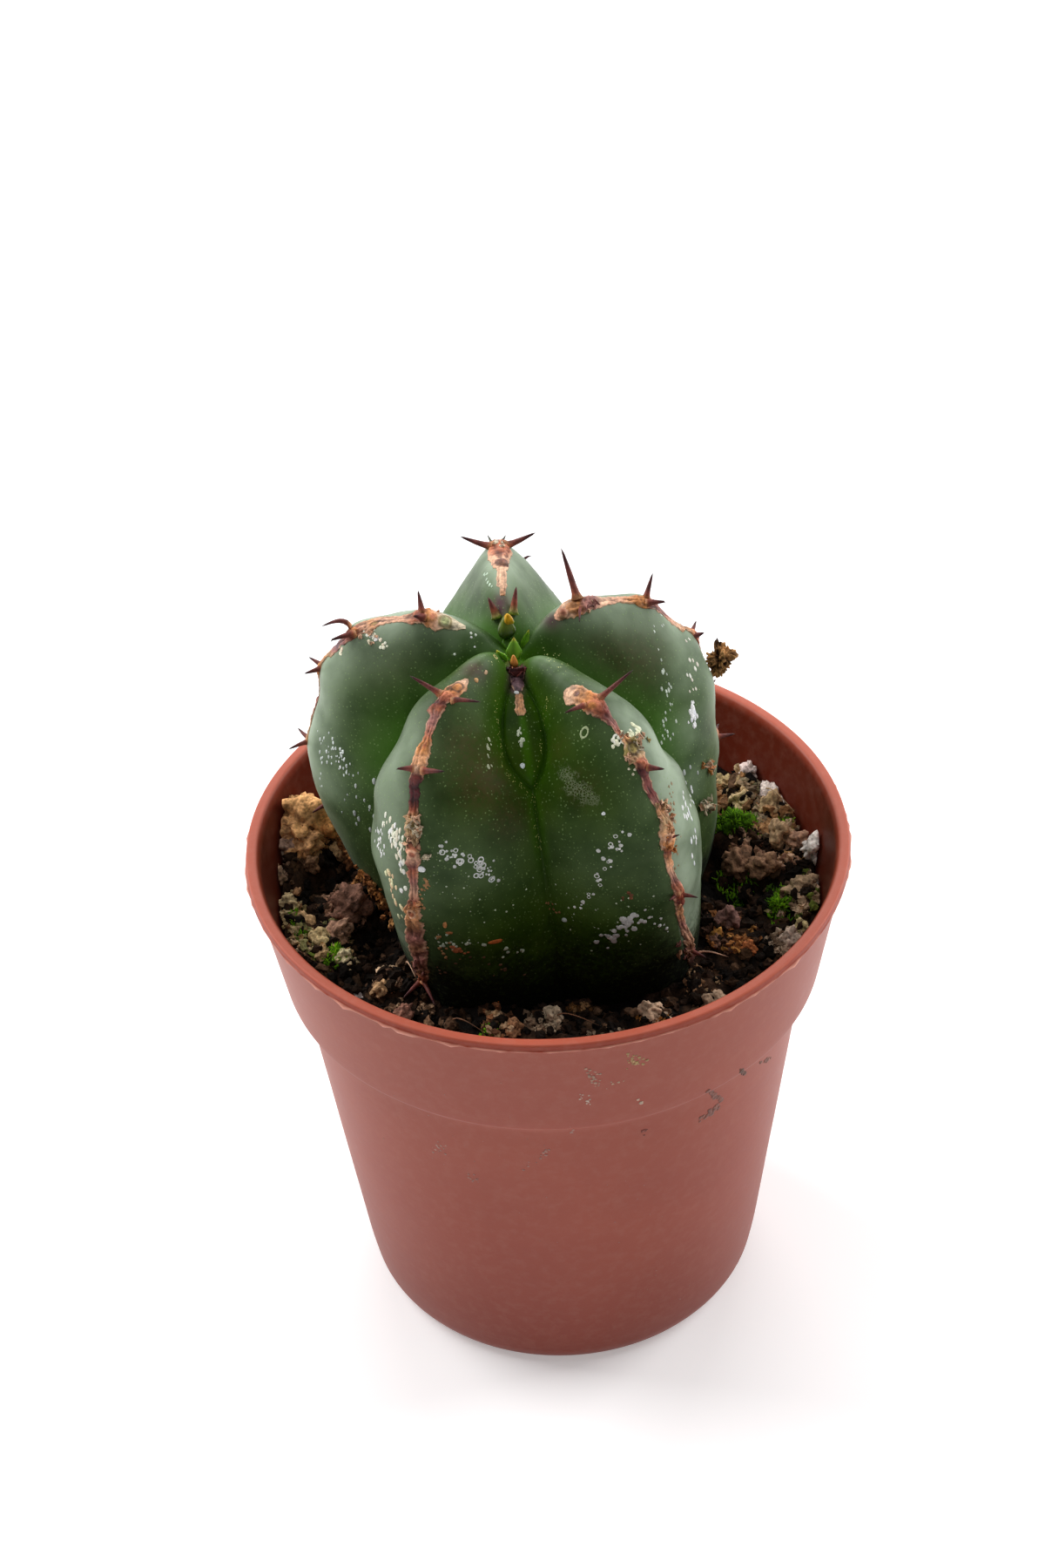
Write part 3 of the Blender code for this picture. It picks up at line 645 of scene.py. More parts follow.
def makeSkinMaterial():
    material, tree, shader = startMaterial("waxyEpidermis", skinLook["roughness"], skinLook["ior"])
    place = addNode(tree, "TexCoord").outputs["Object"]
    masks = {name: addNode(tree, "Attribute", attribute_name=name).outputs["Fac"]
             for name in ("fresh", "creaseShade", "bloomAndSheen", "sheenAndFrost", "soiledAndShaded", "bruised", "mauve", "scarred")}
    patterns = {name: addNode(tree, "TexNoise", {"Vector": place, "Scale": 1 / (size * mm), "Detail": detail})
                for name, (size, detail) in skinLook["patterns"].items()}
    colour = addNode(tree, "ValToRGB", {"Fac": patterns["cloud"]}, stops=skinLook["green"])
    for name, tone, most, pattern, low, high in skinLook["layers"]:
        colour = layer(tree, colour, tone, masks[name], most, patterns.get(pattern), low, high)
    pores = addNode(tree, "TexVoronoi", {"Vector": place, "Scale": 1 / (skinLook["poreSize"] * mm)})
    dot = addNode(tree, "MapRange", (pores, *skinLook["poreEdge"]))
    chosen = addNode(tree, "SeparateColor", {"Color": pores.outputs["Color"]})
    faint = addNode(tree, "Math", (dot, chosen), operation="MULTIPLY")
    for mask, (tone, most) in ((faint, skinLook["pores"]), (masks["creaseShade"], skinLook["creaseShade"])):
        colour = layer(tree, colour, tone, mask, most)
    cracks = addNode(tree, "TexVoronoi", {"Vector": place, "Scale": 1 / (skinLook["crackSize"] * mm)},
                     feature="DISTANCE_TO_EDGE")
    web = addNode(tree, "MapRange", (cracks, *skinLook["crackEdge"]))
    crusty = addNode(tree, "Math", (masks["scarred"], patterns["grain"]), operation="ADD")
    crusty = addNode(tree, "MapRange", (crusty, *skinLook["scarEdge"]))
    tone, most = skinLook["scars"]
    colour = layer(tree, colour, tone, crusty, most, web)
    dirtAndShadeGrain = addNode(tree, "MapRange", (patterns["grain"], *skinLook["soilAndShadeGrain"]))
    dirtAndShade = addNode(tree, "Math", (masks["soiledAndShaded"], dirtAndShadeGrain), operation="ADD")
    dirtAndShade = addNode(tree, "MapRange", (dirtAndShade, *skinLook["soilAndShadeEdge"]))
    dirtAndShade = addNode(tree, "Math", (dirtAndShade, masks["soiledAndShaded"]), operation="MULTIPLY", use_clamp=True)
    tone, most = skinLook["soil"]
    colour = layer(tree, colour, tone, dirtAndShade, most)
    rough = addNode(tree, "MapRange", (patterns["cloud"], 0, 1, *skinLook["roughFrom"]))
    rough = addNode(tree, "Math", (rough, dirtAndShade), operation="MAXIMUM")
    relief = addNode(tree, "Math", (patterns["grain"], faint), operation="ADD")
    looks = {"Roughness": rough, **skinLook["shader"]}
    finishMaterial(tree, shader, colour, relief, *skinLook["bump"], looks)
    return material


def surfaceOf(piece):
    mesh = piece.data
    return BVHTree.FromPolygons([v.co for v in mesh.vertices], [tuple(f.vertices) for f in mesh.polygons])


stem = modelStem()
stemHit = surfaceOf(stem)
for name in ("bruised", "mauve", "sheenAndFrost", "scarred"):
    paintSpots(stem, stemHit, name, stemSkin[name])
skin = makeSkinMaterial()
finishPiece(stem, skin, ["stem"])
print("stem modelled")


# Horny margins with their knots, scars and spines: papery strips that lie flush on the ribs' edges

tints = {name: linear(colour) for name, colour in {
    "cream": "#DDB090", "tan": "#CF9468", "amber": "#BC7A42", "salmon": "#B2694C", "rose": "#97635A",
    "rust": "#82402A", "maroon": "#451418", "wine": "#6E352F", "plum": "#6B5056", "bark": "#80563C",
    "straw": "#B3906A", "umber": "#2E1B12", "olive": "#86753F", "chalk": "#CFC0A4", "leaf": "#6F9426",
    "young": "#A3AC70", "blush": "#D3A083", "grey": "#5C6150",
}.items()}

margins = {
    # traced: photo x and y of both edges, relief, tint
    # hidden: polar angle, half width clockwise and anticlockwise, relief, tint
    # tracedSpines: photo x and y of the root and of the tip, how much nearer the tip is, radius, bow, hook
    # hiddenSpines: polar, root sideways, tip sideways, outward and along, radius, bow, hook
    # eyes: photo x, y, radius, stretch along, height of the ring and of the middle, tints of both
    "front_left": {
        "traced": ((
            (533.5, 779, 537.5, 779.5, 0, "cream"), (526, 782.5, 538, 786, .05, "cream"),
            (517, 787, 536.5, 791, .06, "tan"), (509, 791, 530, 797, .08, "amber"),
            (504, 797, 523, 803, .2, "salmon"), (497, 807, 513, 808.5, .16, "wine"),
            (490.5, 815.6, 509, 815.6, .06, "salmon"), (491.8, 821, 506.6, 823, .04, "rose"),
            (490, 831, 501.5, 832, .03, "rose"), (487.2, 844, 495.6, 846, .03, "salmon"),
            (482, 854, 495.4, 854.5, .05, "amber"), (477, 861, 494.6, 862.5, .08, "amber"),
            (473, 870, 493, 870.5, .1, "tan"), (472.4, 877.3, 491, 876.5, .14, "tan"),
            (473.6, 882, 488, 884, .22, "cream"), (470.6, 888, 486.6, 892, .1, "wine"),
            (469.4, 902, 482.5, 903, .05, "maroon"), (469.4, 918, 480.6, 918, .04, "maroon"),
            (469.5, 930, 480.5, 930, .05, "rust"), (467, 939, 482, 938, .12, "straw"),
            (465, 948, 484, 948, .14, "olive"), (464, 957, 483, 957, .12, "straw"),
            (467, 966, 481, 966, .08, "umber"), (465, 974, 483, 973, .24, "salmon"),
            (466, 984, 483, 984, .2, "blush"), (467, 994, 482, 994, .12, "wine"),
            (467, 1002, 480, 1002, .07, "salmon"), (470, 1012, 480, 1012, .06, "rose"),
            (470.5, 1024, 480.5, 1024, .06, "blush"), (468, 1034, 482, 1034, .14, "rust"),
            (465, 1045, 483, 1045, .2, "amber"), (465, 1054, 484, 1054, .18, "tan"),
            (465, 1064, 486, 1064, .1, "bark"), (466, 1075, 488, 1075, .12, "rose"),
            (469, 1087, 490, 1087, .1, "bark"), (474, 1100, 491, 1100, .14, "rose"),
            (478, 1112, 492, 1112, .12, "bark"), (480, 1122, 492, 1122, .18, "rust"),
            (482, 1130, 490, 1130, .1, "umber"), (484, 1136, 488, 1136, 0, "umber"),
        ),),
        "tracedSpines": (
            (506, 797, 469.9, 775.3, .6, .27, .05, 0), (519, 804, 552.6, 806, 1.1, .24, .12, 0),
            (474, 882.6, 454.6, 882.4, .5, .25, .05, .1), (485, 884.6, 511, 885.5, 1.3, .28, 0, 0),
            (484, 1126, 462, 1147, 1.2, .22, .1, 0), (486, 1126, 501, 1157, 1.6, .22, .1, 0),
        ),
        "eyes": (
            (525.5, 789.6, .4, 1.4, .07, .07, "umber", "amber"),
            (488, 857, .13, 2.5, .04, -.04, "rust", "rust"), (498, 801, .3, 1, .1, .15, "salmon", "tan"),
            (475, 979, .4, 1, .12, .1, "cream", "rust"), (474, 1048, .36, 1, .12, .05, "cream", "rust"),
        ),
    },
    "front_right": {
        "traced": ((
            (647, 801, 647.5, 794, 0, "cream"), (649.5, 808, 651.5, 788.8, .05, "cream"),
            (656.4, 809.5, 659, 786.3, .07, "cream"), (664, 811.8, 668, 787.6, .08, "tan"),
            (671.5, 817, 678, 793, .1, "amber"), (679.5, 822, 687.5, 799.5, .18, "salmon"),
            (687, 826, 693.5, 803.5, .16, "rust"), (693.5, 828.8, 697.5, 811, .08, "wine"),
            (700.4, 833, 703, 821, .05, "rose"), (705, 839.5, 708.3, 831, .04, "rose"),
            (710.5, 845, 714.5, 841, .05, "salmon"), (713.5, 851, 722.5, 845, .07, "tan"),
            (715.7, 858, 733.5, 851, .09, "olive"), (716.8, 866, 739, 858.5, .09, "olive"),
            (722, 871.5, 740.5, 866, .1, "straw"), (727.5, 877, 743.7, 873, .2, "salmon"),
            (732, 884.5, 744.5, 882, .1, "maroon"), (735.6, 892.5, 746.3, 890.5, .05, "wine"),
            (737.5, 903, 749.1, 903.5, .04, "wine"), (743, 913.5, 754.5, 911.8, .04, "wine"),
            (748.5, 921.5, 758.5, 919.5, .05, "rose"), (754, 931.5, 764, 929, .07, "tan"),
            (757, 940, 770, 938, .14, "straw"), (756.5, 950, 773.5, 948, .14, "straw"),
            (756.5, 960, 775, 959, .2, "tan"), (758, 970, 773.5, 970, .18, "amber"),
            (761.3, 978, 771, 978, .07, "rust"), (763, 988, 772.5, 988, .04, "tan"),
            (766, 1000, 775, 1000, .04, "blush"), (769.5, 1010, 778, 1009, .07, "rose"),
            (771.5, 1018, 783.5, 1017, .2, "salmon"), (772.5, 1027, 786, 1026, .22, "rust"),
            (774, 1036, 785.5, 1036, .1, "wine"), (776, 1048, 785, 1048, .05, "tan"),
            (779, 1060, 788, 1060, .05, "rose"), (783, 1072, 793, 1072, .09, "blush"),
            (786, 1084, 797, 1084, .09, "bark"), (788, 1095, 798, 1095, .08, "rose"),
            (790, 1106, 798, 1106, .05, "umber"), (792, 1114, 796, 1114, 0, "umber"),
        ),),
        "tracedSpines": (
            (688, 802, 727.6, 768.3, .9, .27, 0, 0), (672, 810, 647.7, 818.8, 1.2, .24, .1, 0),
            (743.5, 881, 763.5, 882.9, .6, .26, 0, 0), (783, 1028, 802, 1030.5, .6, .2, .1, 0),
            (777, 1027, 768, 1034, 1, .16, 0, 0), (768, 962, 781, 958, .6, .14, 0, 0),
            (793, 1092, 812, 1100, .6, .2, .1, 0),
        ),
        "eyes": (
            (662.6, 796.8, .24, 1, .06, -.08, "umber", "plum"),
            (726.2, 859.9, .44, 1.3, .06, 0, "umber", "olive"),
            (736.2, 876.2, .4, 1, 0, .3, "rust", "salmon"), (680, 811, .4, 1, .05, .1, "salmon", "amber"),
            (766, 961, .36, 1, .12, .05, "cream", "rust"), (778, 1023, .3, 1, .1, .1, "salmon", "tan"),
        ),
    },
    "left": {
        "traced": ((
            (534.8, 721.8, 534.5, 718.5, 0, "chalk"), (528, 723, 527, 714.5, .04, "chalk"),
            (520, 724, 518, 708.5, .05, "chalk"), (510, 723.8, 509, 705, .06, "chalk"),
            (500, 723, 499, 701.6, .07, "blush"), (491.5, 720, 492, 700, .15, "amber"),
            (485, 717.3, 485, 701, .26, "wine"), (477, 714.6, 477, 702, .12, "salmon"),
            (467, 715.2, 466, 706, .05, "blush"), (455, 715.1, 453, 708, .04, "blush"),
            (443.7, 716.2, 443, 708.6, .04, "blush"), (436.5, 720, 434, 708.6, .06, "blush"),
            (428, 723.5, 425, 711.5, .08, "tan"), (420, 726.5, 416, 714.8, .1, "blush"),
            (412, 730.8, 408, 718.8, .2, "salmon"), (405, 733.5, 401.5, 722.5, .18, "rust"),
            (398, 738, 396, 730.5, .08, "rose"), (390.5, 743.5, 387.5, 739, .05, "plum"),
            (384.5, 749, 380, 746.5, .05, "rose"), (380.5, 755, 376, 753.5, .05, "straw"),
        ),),
        "hidden": (
            (55, .35, .2, .05, "straw"), (58, .42, .3, .15, "tan"), (60.6, .42, .4, .3, "amber"),
            (64, .25, .3, .12, "bark"), (72, .22, .26, .06, "rose"), (80, .3, .36, .1, "straw"),
            (84, .42, .42, .22, "tan"), (88, .26, .3, .1, "rust"), (98, .25, .28, .08, "bark"),
            (103, .36, .4, .18, "straw"), (108, .25, .28, .1, "bark"), (118, .25, .28, .08, "umber"),
            (121, .1, .1, 0, "umber"),
        ),
        "tracedSpines": (
            (484.5, 703, 479.9, 677.4, .2, .28, .1, 0), (487, 709, 474.5, 707, .7, .3, 0, 0),
            (403.5, 721, 368.7, 719.2, -.2, .26, .75, 0), (408, 727.5, 377.5, 735.6, .6, .29, .1, .3),
        ),
        "hiddenSpines": (
            (60.6, .25, (1.6, 1.2, .2), .24, 0, 0), (60.6, -.25, (-.9, 1.4, 0), .22, 0, 0),
            (84, .3, (1.7, 1.5, .1), .22, .1, 0), (84, -.3, (-1.7, 1.4, 0), .22, .1, 0),
            (103, .3, (1.2, 1.2, 0), .2, .1, 0),
        ),
        "eyes": (
            (511.4, 713.5, .5, 1.15, .08, .04, "olive", "young"),
            (430.4, 716.5, .2, 2.4, .04, -.02, "umber", "olive"),
            (497, 709, .35, 1, .1, .12, "amber", "salmon"), (407, 726, .32, 1, .05, .12, "amber", "amber"),
        ),
    },
    "right": {
        "traced": ((
            (637, 710.5, 636, 705.5, 0, "blush"), (641, 712, 642, 697.5, .05, "blush"),
            (647.3, 713, 649, 691.5, .07, "cream"), (655, 711, 656.5, 687.8, .1, "cream"),
            (663, 708, 664, 684.5, .2, "amber"), (672, 704, 672, 684, .14, "rose"),
            (681, 701, 681, 684.6, .1, "rose"), (691, 697.8, 691, 685.5, .05, "cream"),
            (702, 694.2, 702, 685.8, .04, "blush"), (712, 691.6, 713, 684.8, .05, "blush"),
            (721, 692.6, 722, 684, .08, "tan"), (731, 695.8, 732, 683.6, .12, "amber"),
            (740, 698.2, 741, 684.5, .2, "amber"), (748, 700, 748.5, 688.5, .1, "rose"),
            (757, 703.6, 757, 693.8, .05, "rose"), (764, 709.5, 765.5, 699.2, .05, "rose"),
            (771, 716, 774, 705.5, .06, "blush"), (779, 722, 782, 714.5, .08, "cream"),
            (784, 726, 787, 720.5, .12, "tan"),
        ),),
        "hidden": (
            (56, .3, .3, .08, "cream"), (59, .42, .4, .2, "tan"), (61, .42, .4, .28, "salmon"),
            (65, .26, .26, .1, "bark"), (74, .24, .24, .06, "salmon"), (79, .38, .38, .18, "straw"),
            (84, .26, .26, .08, "rust"), (92, .28, .28, .08, "rose"), (96, .42, .42, .2, "tan"),
            (100, .26, .26, .08, "salmon"), (110, .26, .26, .08, "bark"), (118, .1, .1, 0, "umber"),
        ),
        "tracedSpines": (
            (663, 688, 644.2, 627.7, .3, .36, .05, .12), (666, 696, 665.4, 714.7, 1.3, .15, .1, 0),
            (742, 686.5, 749.7, 657.3, .2, .26, .05, 0), (741.8, 692.6, 766.1, 690.5, .3, .29, .05, .4),
        ),
        "hiddenSpines": (
            (61, -.2, (-.6, .9, .1), .26, 0, 0), (61, .3, (1.4, 1.1, 0), .22, 0, 0),
            (79, .3, (1, 1.1, 0), .2, 0, 0), (96, -.2, (-.6, 1.7, 0), .24, 0, 0),
            (96, .3, (1.7, 1.2, 0), .22, 0, 0),
        ),
        "eyes": (
            (646.6, 704.4, .48, 1, .06, .42, "bark", "rust"),
            (657, 697.5, .42, 1.2, .06, .12, "amber", "amber"),
            (675, 693, .42, 1.6, .16, .02, "rose", "rose"), (736, 691, .4, 1.2, .05, .1, "amber", "amber"),
        ),
    },
    "back": {
        "traced": ((
            (574.2, 684, 580.5, 684, 0, "tan"), (574, 675, 580.8, 675, .03, "cream"),
            (569.8, 673.5, 582.6, 673.5, .04, "cream"), (569.8, 665, 581.8, 665, .04, "cream"),
            (569.6, 656.5, 580.8, 656, .05, "cream"), (565.5, 650.5, 584.7, 650, .07, "blush"),
            (561, 643.5, 587.4, 643, .08, "blush"), (559.3, 637, 587.5, 636.5, .1, "salmon"),
            (559, 631.5, 586.2, 631, .14, "salmon"), (561, 627, 584, 626.5, .25, "rust"),
            (564, 623.5, 581, 623, .22, "chalk"),
        ),),
        "hidden": (
            (36, .8, .8, .22, "chalk"), (42, .65, .65, .15, "chalk"), (45, .45, .45, .1, "blush"),
            (50, .36, .36, .06, "salmon"), (55, .32, .32, .06, "rose"), (60, .55, .55, .12, "amber"),
            (63, .6, .6, .26, "rust"), (67, .36, .36, .1, "wine"), (76, .28, .28, .06, "salmon"),
            (80, .5, .5, .16, "tan"), (83, .5, .5, .26, "rust"), (88, .32, .32, .1, "bark"),
            (98, .28, .28, .08, "straw"), (103, .42, .42, .18, "tan"), (108, .28, .28, .1, "bark"),
            (118, .1, .1, 0, "umber"),
        ),
        "tracedSpines": (
            (565, 627, 528, 615.7, -.3, .33, -.1, 0), (580.5, 626, 615.5, 611.1, -.3, .33, -.1, 0),
            (565, 620, 559.5, 613.5, -.3, .12, 0, 0), (576, 620, 581, 614, -.3, .12, 0, 0),
            (571, 709, 560.4, 685.5, .5, .38, 0, 0), (589, 705, 592.9, 672.9, .5, .36, 0, 0),
        ),
        "hiddenSpines": (
            (63, .4, (2.4, 1.6, 0), .3, .1, 0), (63, -.4, (-2.6, 1.4, 0), .3, .1, .2),
            (83, .35, (2, 1.5, .2), .26, .1, 0), (83, -.35, (-1.8, 1.6, .1), .26, .1, 0),
            (103, .3, (1.3, 1.2, 0), .22, 0, 0),
        ),
        "eyes": (
            (575.9, 647.6, .5, 1, .05, .42, "maroon", "wine"), (574, 635, .6, 1, .06, .08, "salmon", "rust"),
        ),
    },
    "front_centre": {
        "traced": ((
            (588, 764.5, 598, 764.5, 0, "wine"), (581, 767, 605, 766.5, .08, "maroon"),
            (584.5, 771, 603, 770.5, .06, "wine"),
            (586, 776, 602, 776, .02, "plum"), (586.5, 783, 601.5, 783, .01, "plum"),
            (588, 790, 601, 790, .01, "plum"), (590, 793.5, 599.5, 793.5, 0, "plum"),
        ), (
            (592.5, 795.5, 599, 795.5, 0, "tan"), (590.8, 798.5, 601, 798.5, .05, "tan"),
            (591, 808, 602, 808, .06, "tan"), (592, 817, 602.4, 817, .06, "tan"),
            (594.5, 821.5, 600.5, 821.5, 0, "straw"),
        )),
        "tracedSpines": ((587, 769, 574, 762, .3, .2, 0, 0), (598, 768.5, 609, 763.5, .3, .2, 0, 0)),
        "eyes": (),
    },
}

marginSurface = {
    "rowLength": 0.1,
    "columns": 18,
    "proud": 0.03,
    "thickness": 0.25,
    "ragged": 0.3,
    "crust": 0.09,
    "curl": 0.06,
    "edgeDrop": 0.08,
    # where these begin and are full, from the middle line to the edge
    "curled": (0.7, 0.97),
    "pale": (0.6, 0.85),
    # painted shadow: the dark line along the strip's edges
    "dark": (0.9, 1.0),
    "eyeReach": 3,  # an eye further than this lies on another strip
    "eyeRing": 0.22,
    "eyeHole": 0.8,
    "eyeMiddle": 1.02,
    "eyeTint": 0.85,
    # shares of the coarse, the fine and the lengthwise roughness
    "crustMix": (0.8, 0.5, 0.7),
    "shadeMix": (0.55, 0.4, 0.6),
    "shadeLimits": (0.4, 1.5),
    "eyeShadeLimits": (0.6, 1.4),
    "paintedEdgeShadow": 0.55,
}
spineShape = {
    "sides": 9,
    "rings": 16,
    # thickness: a slim cone and a stalk that ends late, each with its share and power
    "cone": (0.7, 0.9),
    "stalk": (0.3, 10),
    "rootFlare": 0.6,
    "flareLength": 0.4,
    "beads": (0.05, 40),
    "bowBias": 0.65,
    "hookFrom": 0.86,
    "hookDrop": 0.3,
    "toneEase": 1.4,
    "mottled": 0.5,
}


def hitBetween(x, y, towards):
    # the photo point on the stem, or the first one on the way to another if it lies just off its outline
    for share in np.linspace(0, 1, 11):
        place, _ = photoHit(stemHit, *(np.array((x, y)) * (1 - share) + np.array(towards) * share))
        if place is not None:
            return place
    return hitBetween(x, y + 1, (towards[0], towards[1] + 2))


def edgesOf(rib, rows):
    edges = []
    for row in rows:
        if len(row) == 6:
            first, second = row[:2], row[2:4]
            edges.append((hitBetween(*first, second), hitBetween(*second, first)))
        else:
            polar, clockwise, anticlockwise = row[:3]
            sideways = crestFrame(rib, polar)[0]
            middle = onStem(crestLine(rib, polar), polar)
            edges.append((middle - sideways * clockwise, middle + sideways * anticlockwise))
    return np.array(edges)


def mixed(shares, parts):
    return sum(share * part for share, part in zip(shares, parts))


def modelStrip(rib, stations, eyes):
    edges = edgesOf(rib, stations)
    middles = edges.mean(axis=1)
    way = np.concatenate([[0], np.cumsum(np.linalg.norm(np.diff(middles, axis=0), axis=1))])
    rows, columns = int(way[-1] / marginSurface["rowLength"]) + 4, marginSurface["columns"]
    strip = addPrimitive("margin", bpy.ops.mesh.primitive_grid_add, size=2,
                         x_subdivisions=columns, y_subdivisions=rows)
    flat = readPoints(strip) * mm
    across, along = flat[:, 0], (flat[:, 1] + 1) / 2 * way[-1]

    def between(values):
        return np.stack([np.interp(along, way, column) for column in np.array(values).T], axis=1)

    left, right = between(edges[:, 0]), between(edges[:, 1])
    side = np.where(across < 0, 0.0, 1.0)
    torn = np.column_stack([side * 9 + across * 0.1, along, 0 * along + 17.0 * list(margins).index(rib)])
    ragged = 1 + marginSurface["ragged"] * (noiseAt(torn, 0.9, 3) + 0.6 * noiseAt(torn, 0.28, 4))
    share = (0.5 + 0.5 * across * ragged)[:, None]
    rough = (left * (1 - share) + right * share) * mm
    ground = np.array([stemHit.find_nearest(Vector(point))[0] for point in rough]) / mm
    grid = np.lexsort((across.round(5), along.round(5)))
    net = ground[grid].reshape(len(np.unique(along.round(5))), -1, 3)
    normal = np.cross(np.gradient(net, axis=1), np.gradient(net, axis=0)).reshape(-1, 3)
    normal /= np.linalg.norm(normal, axis=1, keepdims=True) + 1e-9
    outwards = net.reshape(-1, 3) - stemPoint(0, 0, -10)
    if (normal * outwards).sum() < 0:
        normal = -normal
    normals = np.empty_like(ground)
    normals[grid] = normal

    relief = np.interp(along, way, [row[-2] for row in stations])
    dome = 1 - abs(across) ** 4
    coarse, fine = noiseAt(ground, 0.9, 4, 2), noiseAt(ground, 0.25, 5, 2)
    wrinkled = noiseAt(np.column_stack([across * 3, along * 0.45, 0 * along]), 1.0, 7, 2)
    grains = (coarse, fine, wrinkled)
    crust = marginSurface["crust"] * mixed(marginSurface["crustMix"], grains)
    lift = marginSurface["proud"] + (relief + crust * np.clip(relief / 0.07, 0.3, 1.6)) * dome
    curled = smoothStep(abs(across), *marginSurface["curled"]) * np.clip(noiseAt(torn, 0.6, 8) * 2, 0, 1)
    lift += marginSurface["curl"] * curled
    tint = between([tints[row[-1]] for row in stations])
    shade = 1 + mixed(marginSurface["shadeMix"], grains)
    tint = tint * np.clip(shade, *marginSurface["shadeLimits"])[:, None]
    worn = np.clip(0.45 + 1.3 * noiseAt(torn, 0.9, 9), 0, 0.8)
    pale = smoothStep(abs(across), *marginSurface["pale"]) * worn
    pale = (pale * smoothStep(tint.sum(axis=1), 0.12, 0.3))[:, None]
    tint = tint * (1 - pale) + tints["cream"] * pale
    aim = np.gradient(middles, way, axis=0)
    for x, y, radius, stretch, ringHeight, middleHeight, ringTint, middleTint in eyes:
        centre = hitBetween(x, y, (x, y + 5))
        nearest = np.argmin(np.linalg.norm(middles - centre, axis=1))
        if np.linalg.norm(middles[nearest] - centre) > marginSurface["eyeReach"]:
            continue
        direction = aim[nearest] / np.linalg.norm(aim[nearest])
        offset = ground - centre
        lengthwise = offset @ direction
        crosswise = np.clip((offset ** 2).sum(axis=1) - lengthwise ** 2, 0, None)
        away = np.sqrt(crosswise + (lengthwise / stretch) ** 2) / radius * (1 + 0.25 * coarse)
        ring = bell(away - 1, marginSurface["eyeRing"])
        hole = np.exp(-((away / marginSurface["eyeHole"]) ** 6))
        domed = np.sqrt(np.clip(1 - (away / marginSurface["eyeMiddle"]) ** 2, 0, 1))
        lift += ringHeight * ring + middleHeight * domed
        for amount, name in ((hole, middleTint), (ring, ringTint)):
            amount = marginSurface["eyeTint"] * amount[:, None]
            eyeShade = np.clip(shade, *marginSurface["eyeShadeLimits"])[:, None]
            tint = tint * (1 - amount) + tints[name] * amount * eyeShade
    lift -= marginSurface["edgeDrop"] * (abs(across) > marginSurface["curled"][1])
    # painted shadow along the strip's edges
    tint *= 1 - marginSurface["paintedEdgeShadow"] * smoothStep(abs(across), *marginSurface["dark"])[:, None]
    movePoints(strip, ground + normals * lift[:, None])
    setAttribute(strip, "tint", np.clip(tint, 0.004, 1))
    bpy.ops.object.mode_set(mode="EDIT")
    bpy.ops.mesh.select_all(action="SELECT")
    bpy.ops.mesh.normals_make_consistent(inside=False)
    bpy.ops.object.mode_set(mode="OBJECT")
    face = strip.data.polygons[len(strip.data.polygons) // 2]
    if Vector(normals[face.vertices[0]]).dot(face.normal) < 0:
        strip.data.flip_normals()
    applyModifier(strip, "SOLIDIFY", thickness=marginSurface["thickness"] * mm, offset=-1)
    return strip


def modelSpine():
    spine = addPrimitive("spine", bpy.ops.mesh.primitive_cone_add, vertices=spineShape["sides"],
                         radius1=mm, radius2=0.0, depth=mm, location=(0, 0, 0.5 * mm), end_fill_type="TRIFAN")
    bpy.ops.object.mode_set(mode="EDIT")
    for k in range(1, spineShape["rings"]):
        bpy.ops.mesh.select_all(action="SELECT")
        bpy.ops.mesh.bisect(plane_co=(0, 0, k / spineShape["rings"] * mm), plane_no=(0, 0, 1))
    bpy.ops.object.mode_set(mode="OBJECT")
    return takeModel(spine)


def bendSpine(model, start, reach, side, radius, bow, hook, tones):
    # bow lifts the middle towards that side, and hook turns the tip away from it
    points, faces = model
    length = np.linalg.norm(reach)
    ahead = reach / length
    first = np.cross(ahead, side)
    first /= np.linalg.norm(first)
    second = np.cross(ahead, first)
    share = np.clip(points[:, 2], 0, 1)
    ring = points[:, :2] / np.maximum(1 - share, 1e-6)[:, None]
    ring[share > 0.999] = 0
    (coneShare, conePower), (stalkShare, stalkPower) = spineShape["cone"], spineShape["stalk"]
    thick = radius * (coneShare * (1 - share) ** conePower + stalkShare * (1 - share ** stalkPower))
    flare = spineShape["rootFlare"] * np.exp(-share * length / spineShape["flareLength"])
    beadHeight, beadRate = spineShape["beads"]
    thick *= 1 + flare + beadHeight * np.sin(share * beadRate)
    late = np.clip((share - spineShape["hookFrom"]) / (1 - spineShape["hookFrom"]), 0, 1)
    bowed = bow * np.sin(pi * share ** spineShape["bowBias"])
    centre = start + share[:, None] * reach + side * bowed[:, None]
    centre = centre - (side * hook + ahead * hook * spineShape["hookDrop"]) * (late ** 2)[:, None]
    placed = centre + thick[:, None] * (first * ring[:, :1] + second * ring[:, 1:])
    stops = np.linspace(0, 1, len(tones)) ** spineShape["toneEase"]
    tint = np.stack([np.interp(share, stops, [tints[tone][k] for tone in tones]) for k in range(3)], axis=1)
    tint *= (1 + spineShape["mottled"] * noiseAt(placed, 0.5, 8))[:, None]
    return placed, faces, np.clip(tint, 0.003, 1)


spineTones = ("tan", "rust", "wine", "wine", "maroon", "umber")
youngTones = ("leaf", "olive", "rust", "wine", "maroon")
greyTones = ("grey", "grey", "umber")


def sideOf(reach, outward, spare):
    side = np.cross(np.cross(reach, outward), reach)
    if np.linalg.norm(side) < 0.2 * np.linalg.norm(reach) ** 2:
        side = np.cross(np.cross(reach, spare), reach)
    return side / np.linalg.norm(side)


def hiddenSpine(model, rib, polar, root, tip, radius, bow, hook):
    sideways, outward, along = crestFrame(rib, polar)
    start = onStem(crestLine(rib, polar), polar, -0.05) + sideways * root
    reach = sideways * (tip[0] - root) + outward * (tip[1] + 0.05) + along * tip[2]
    return bendSpine(model, start, reach, sideOf(reach, outward, along), radius, bow, hook, spineTones)


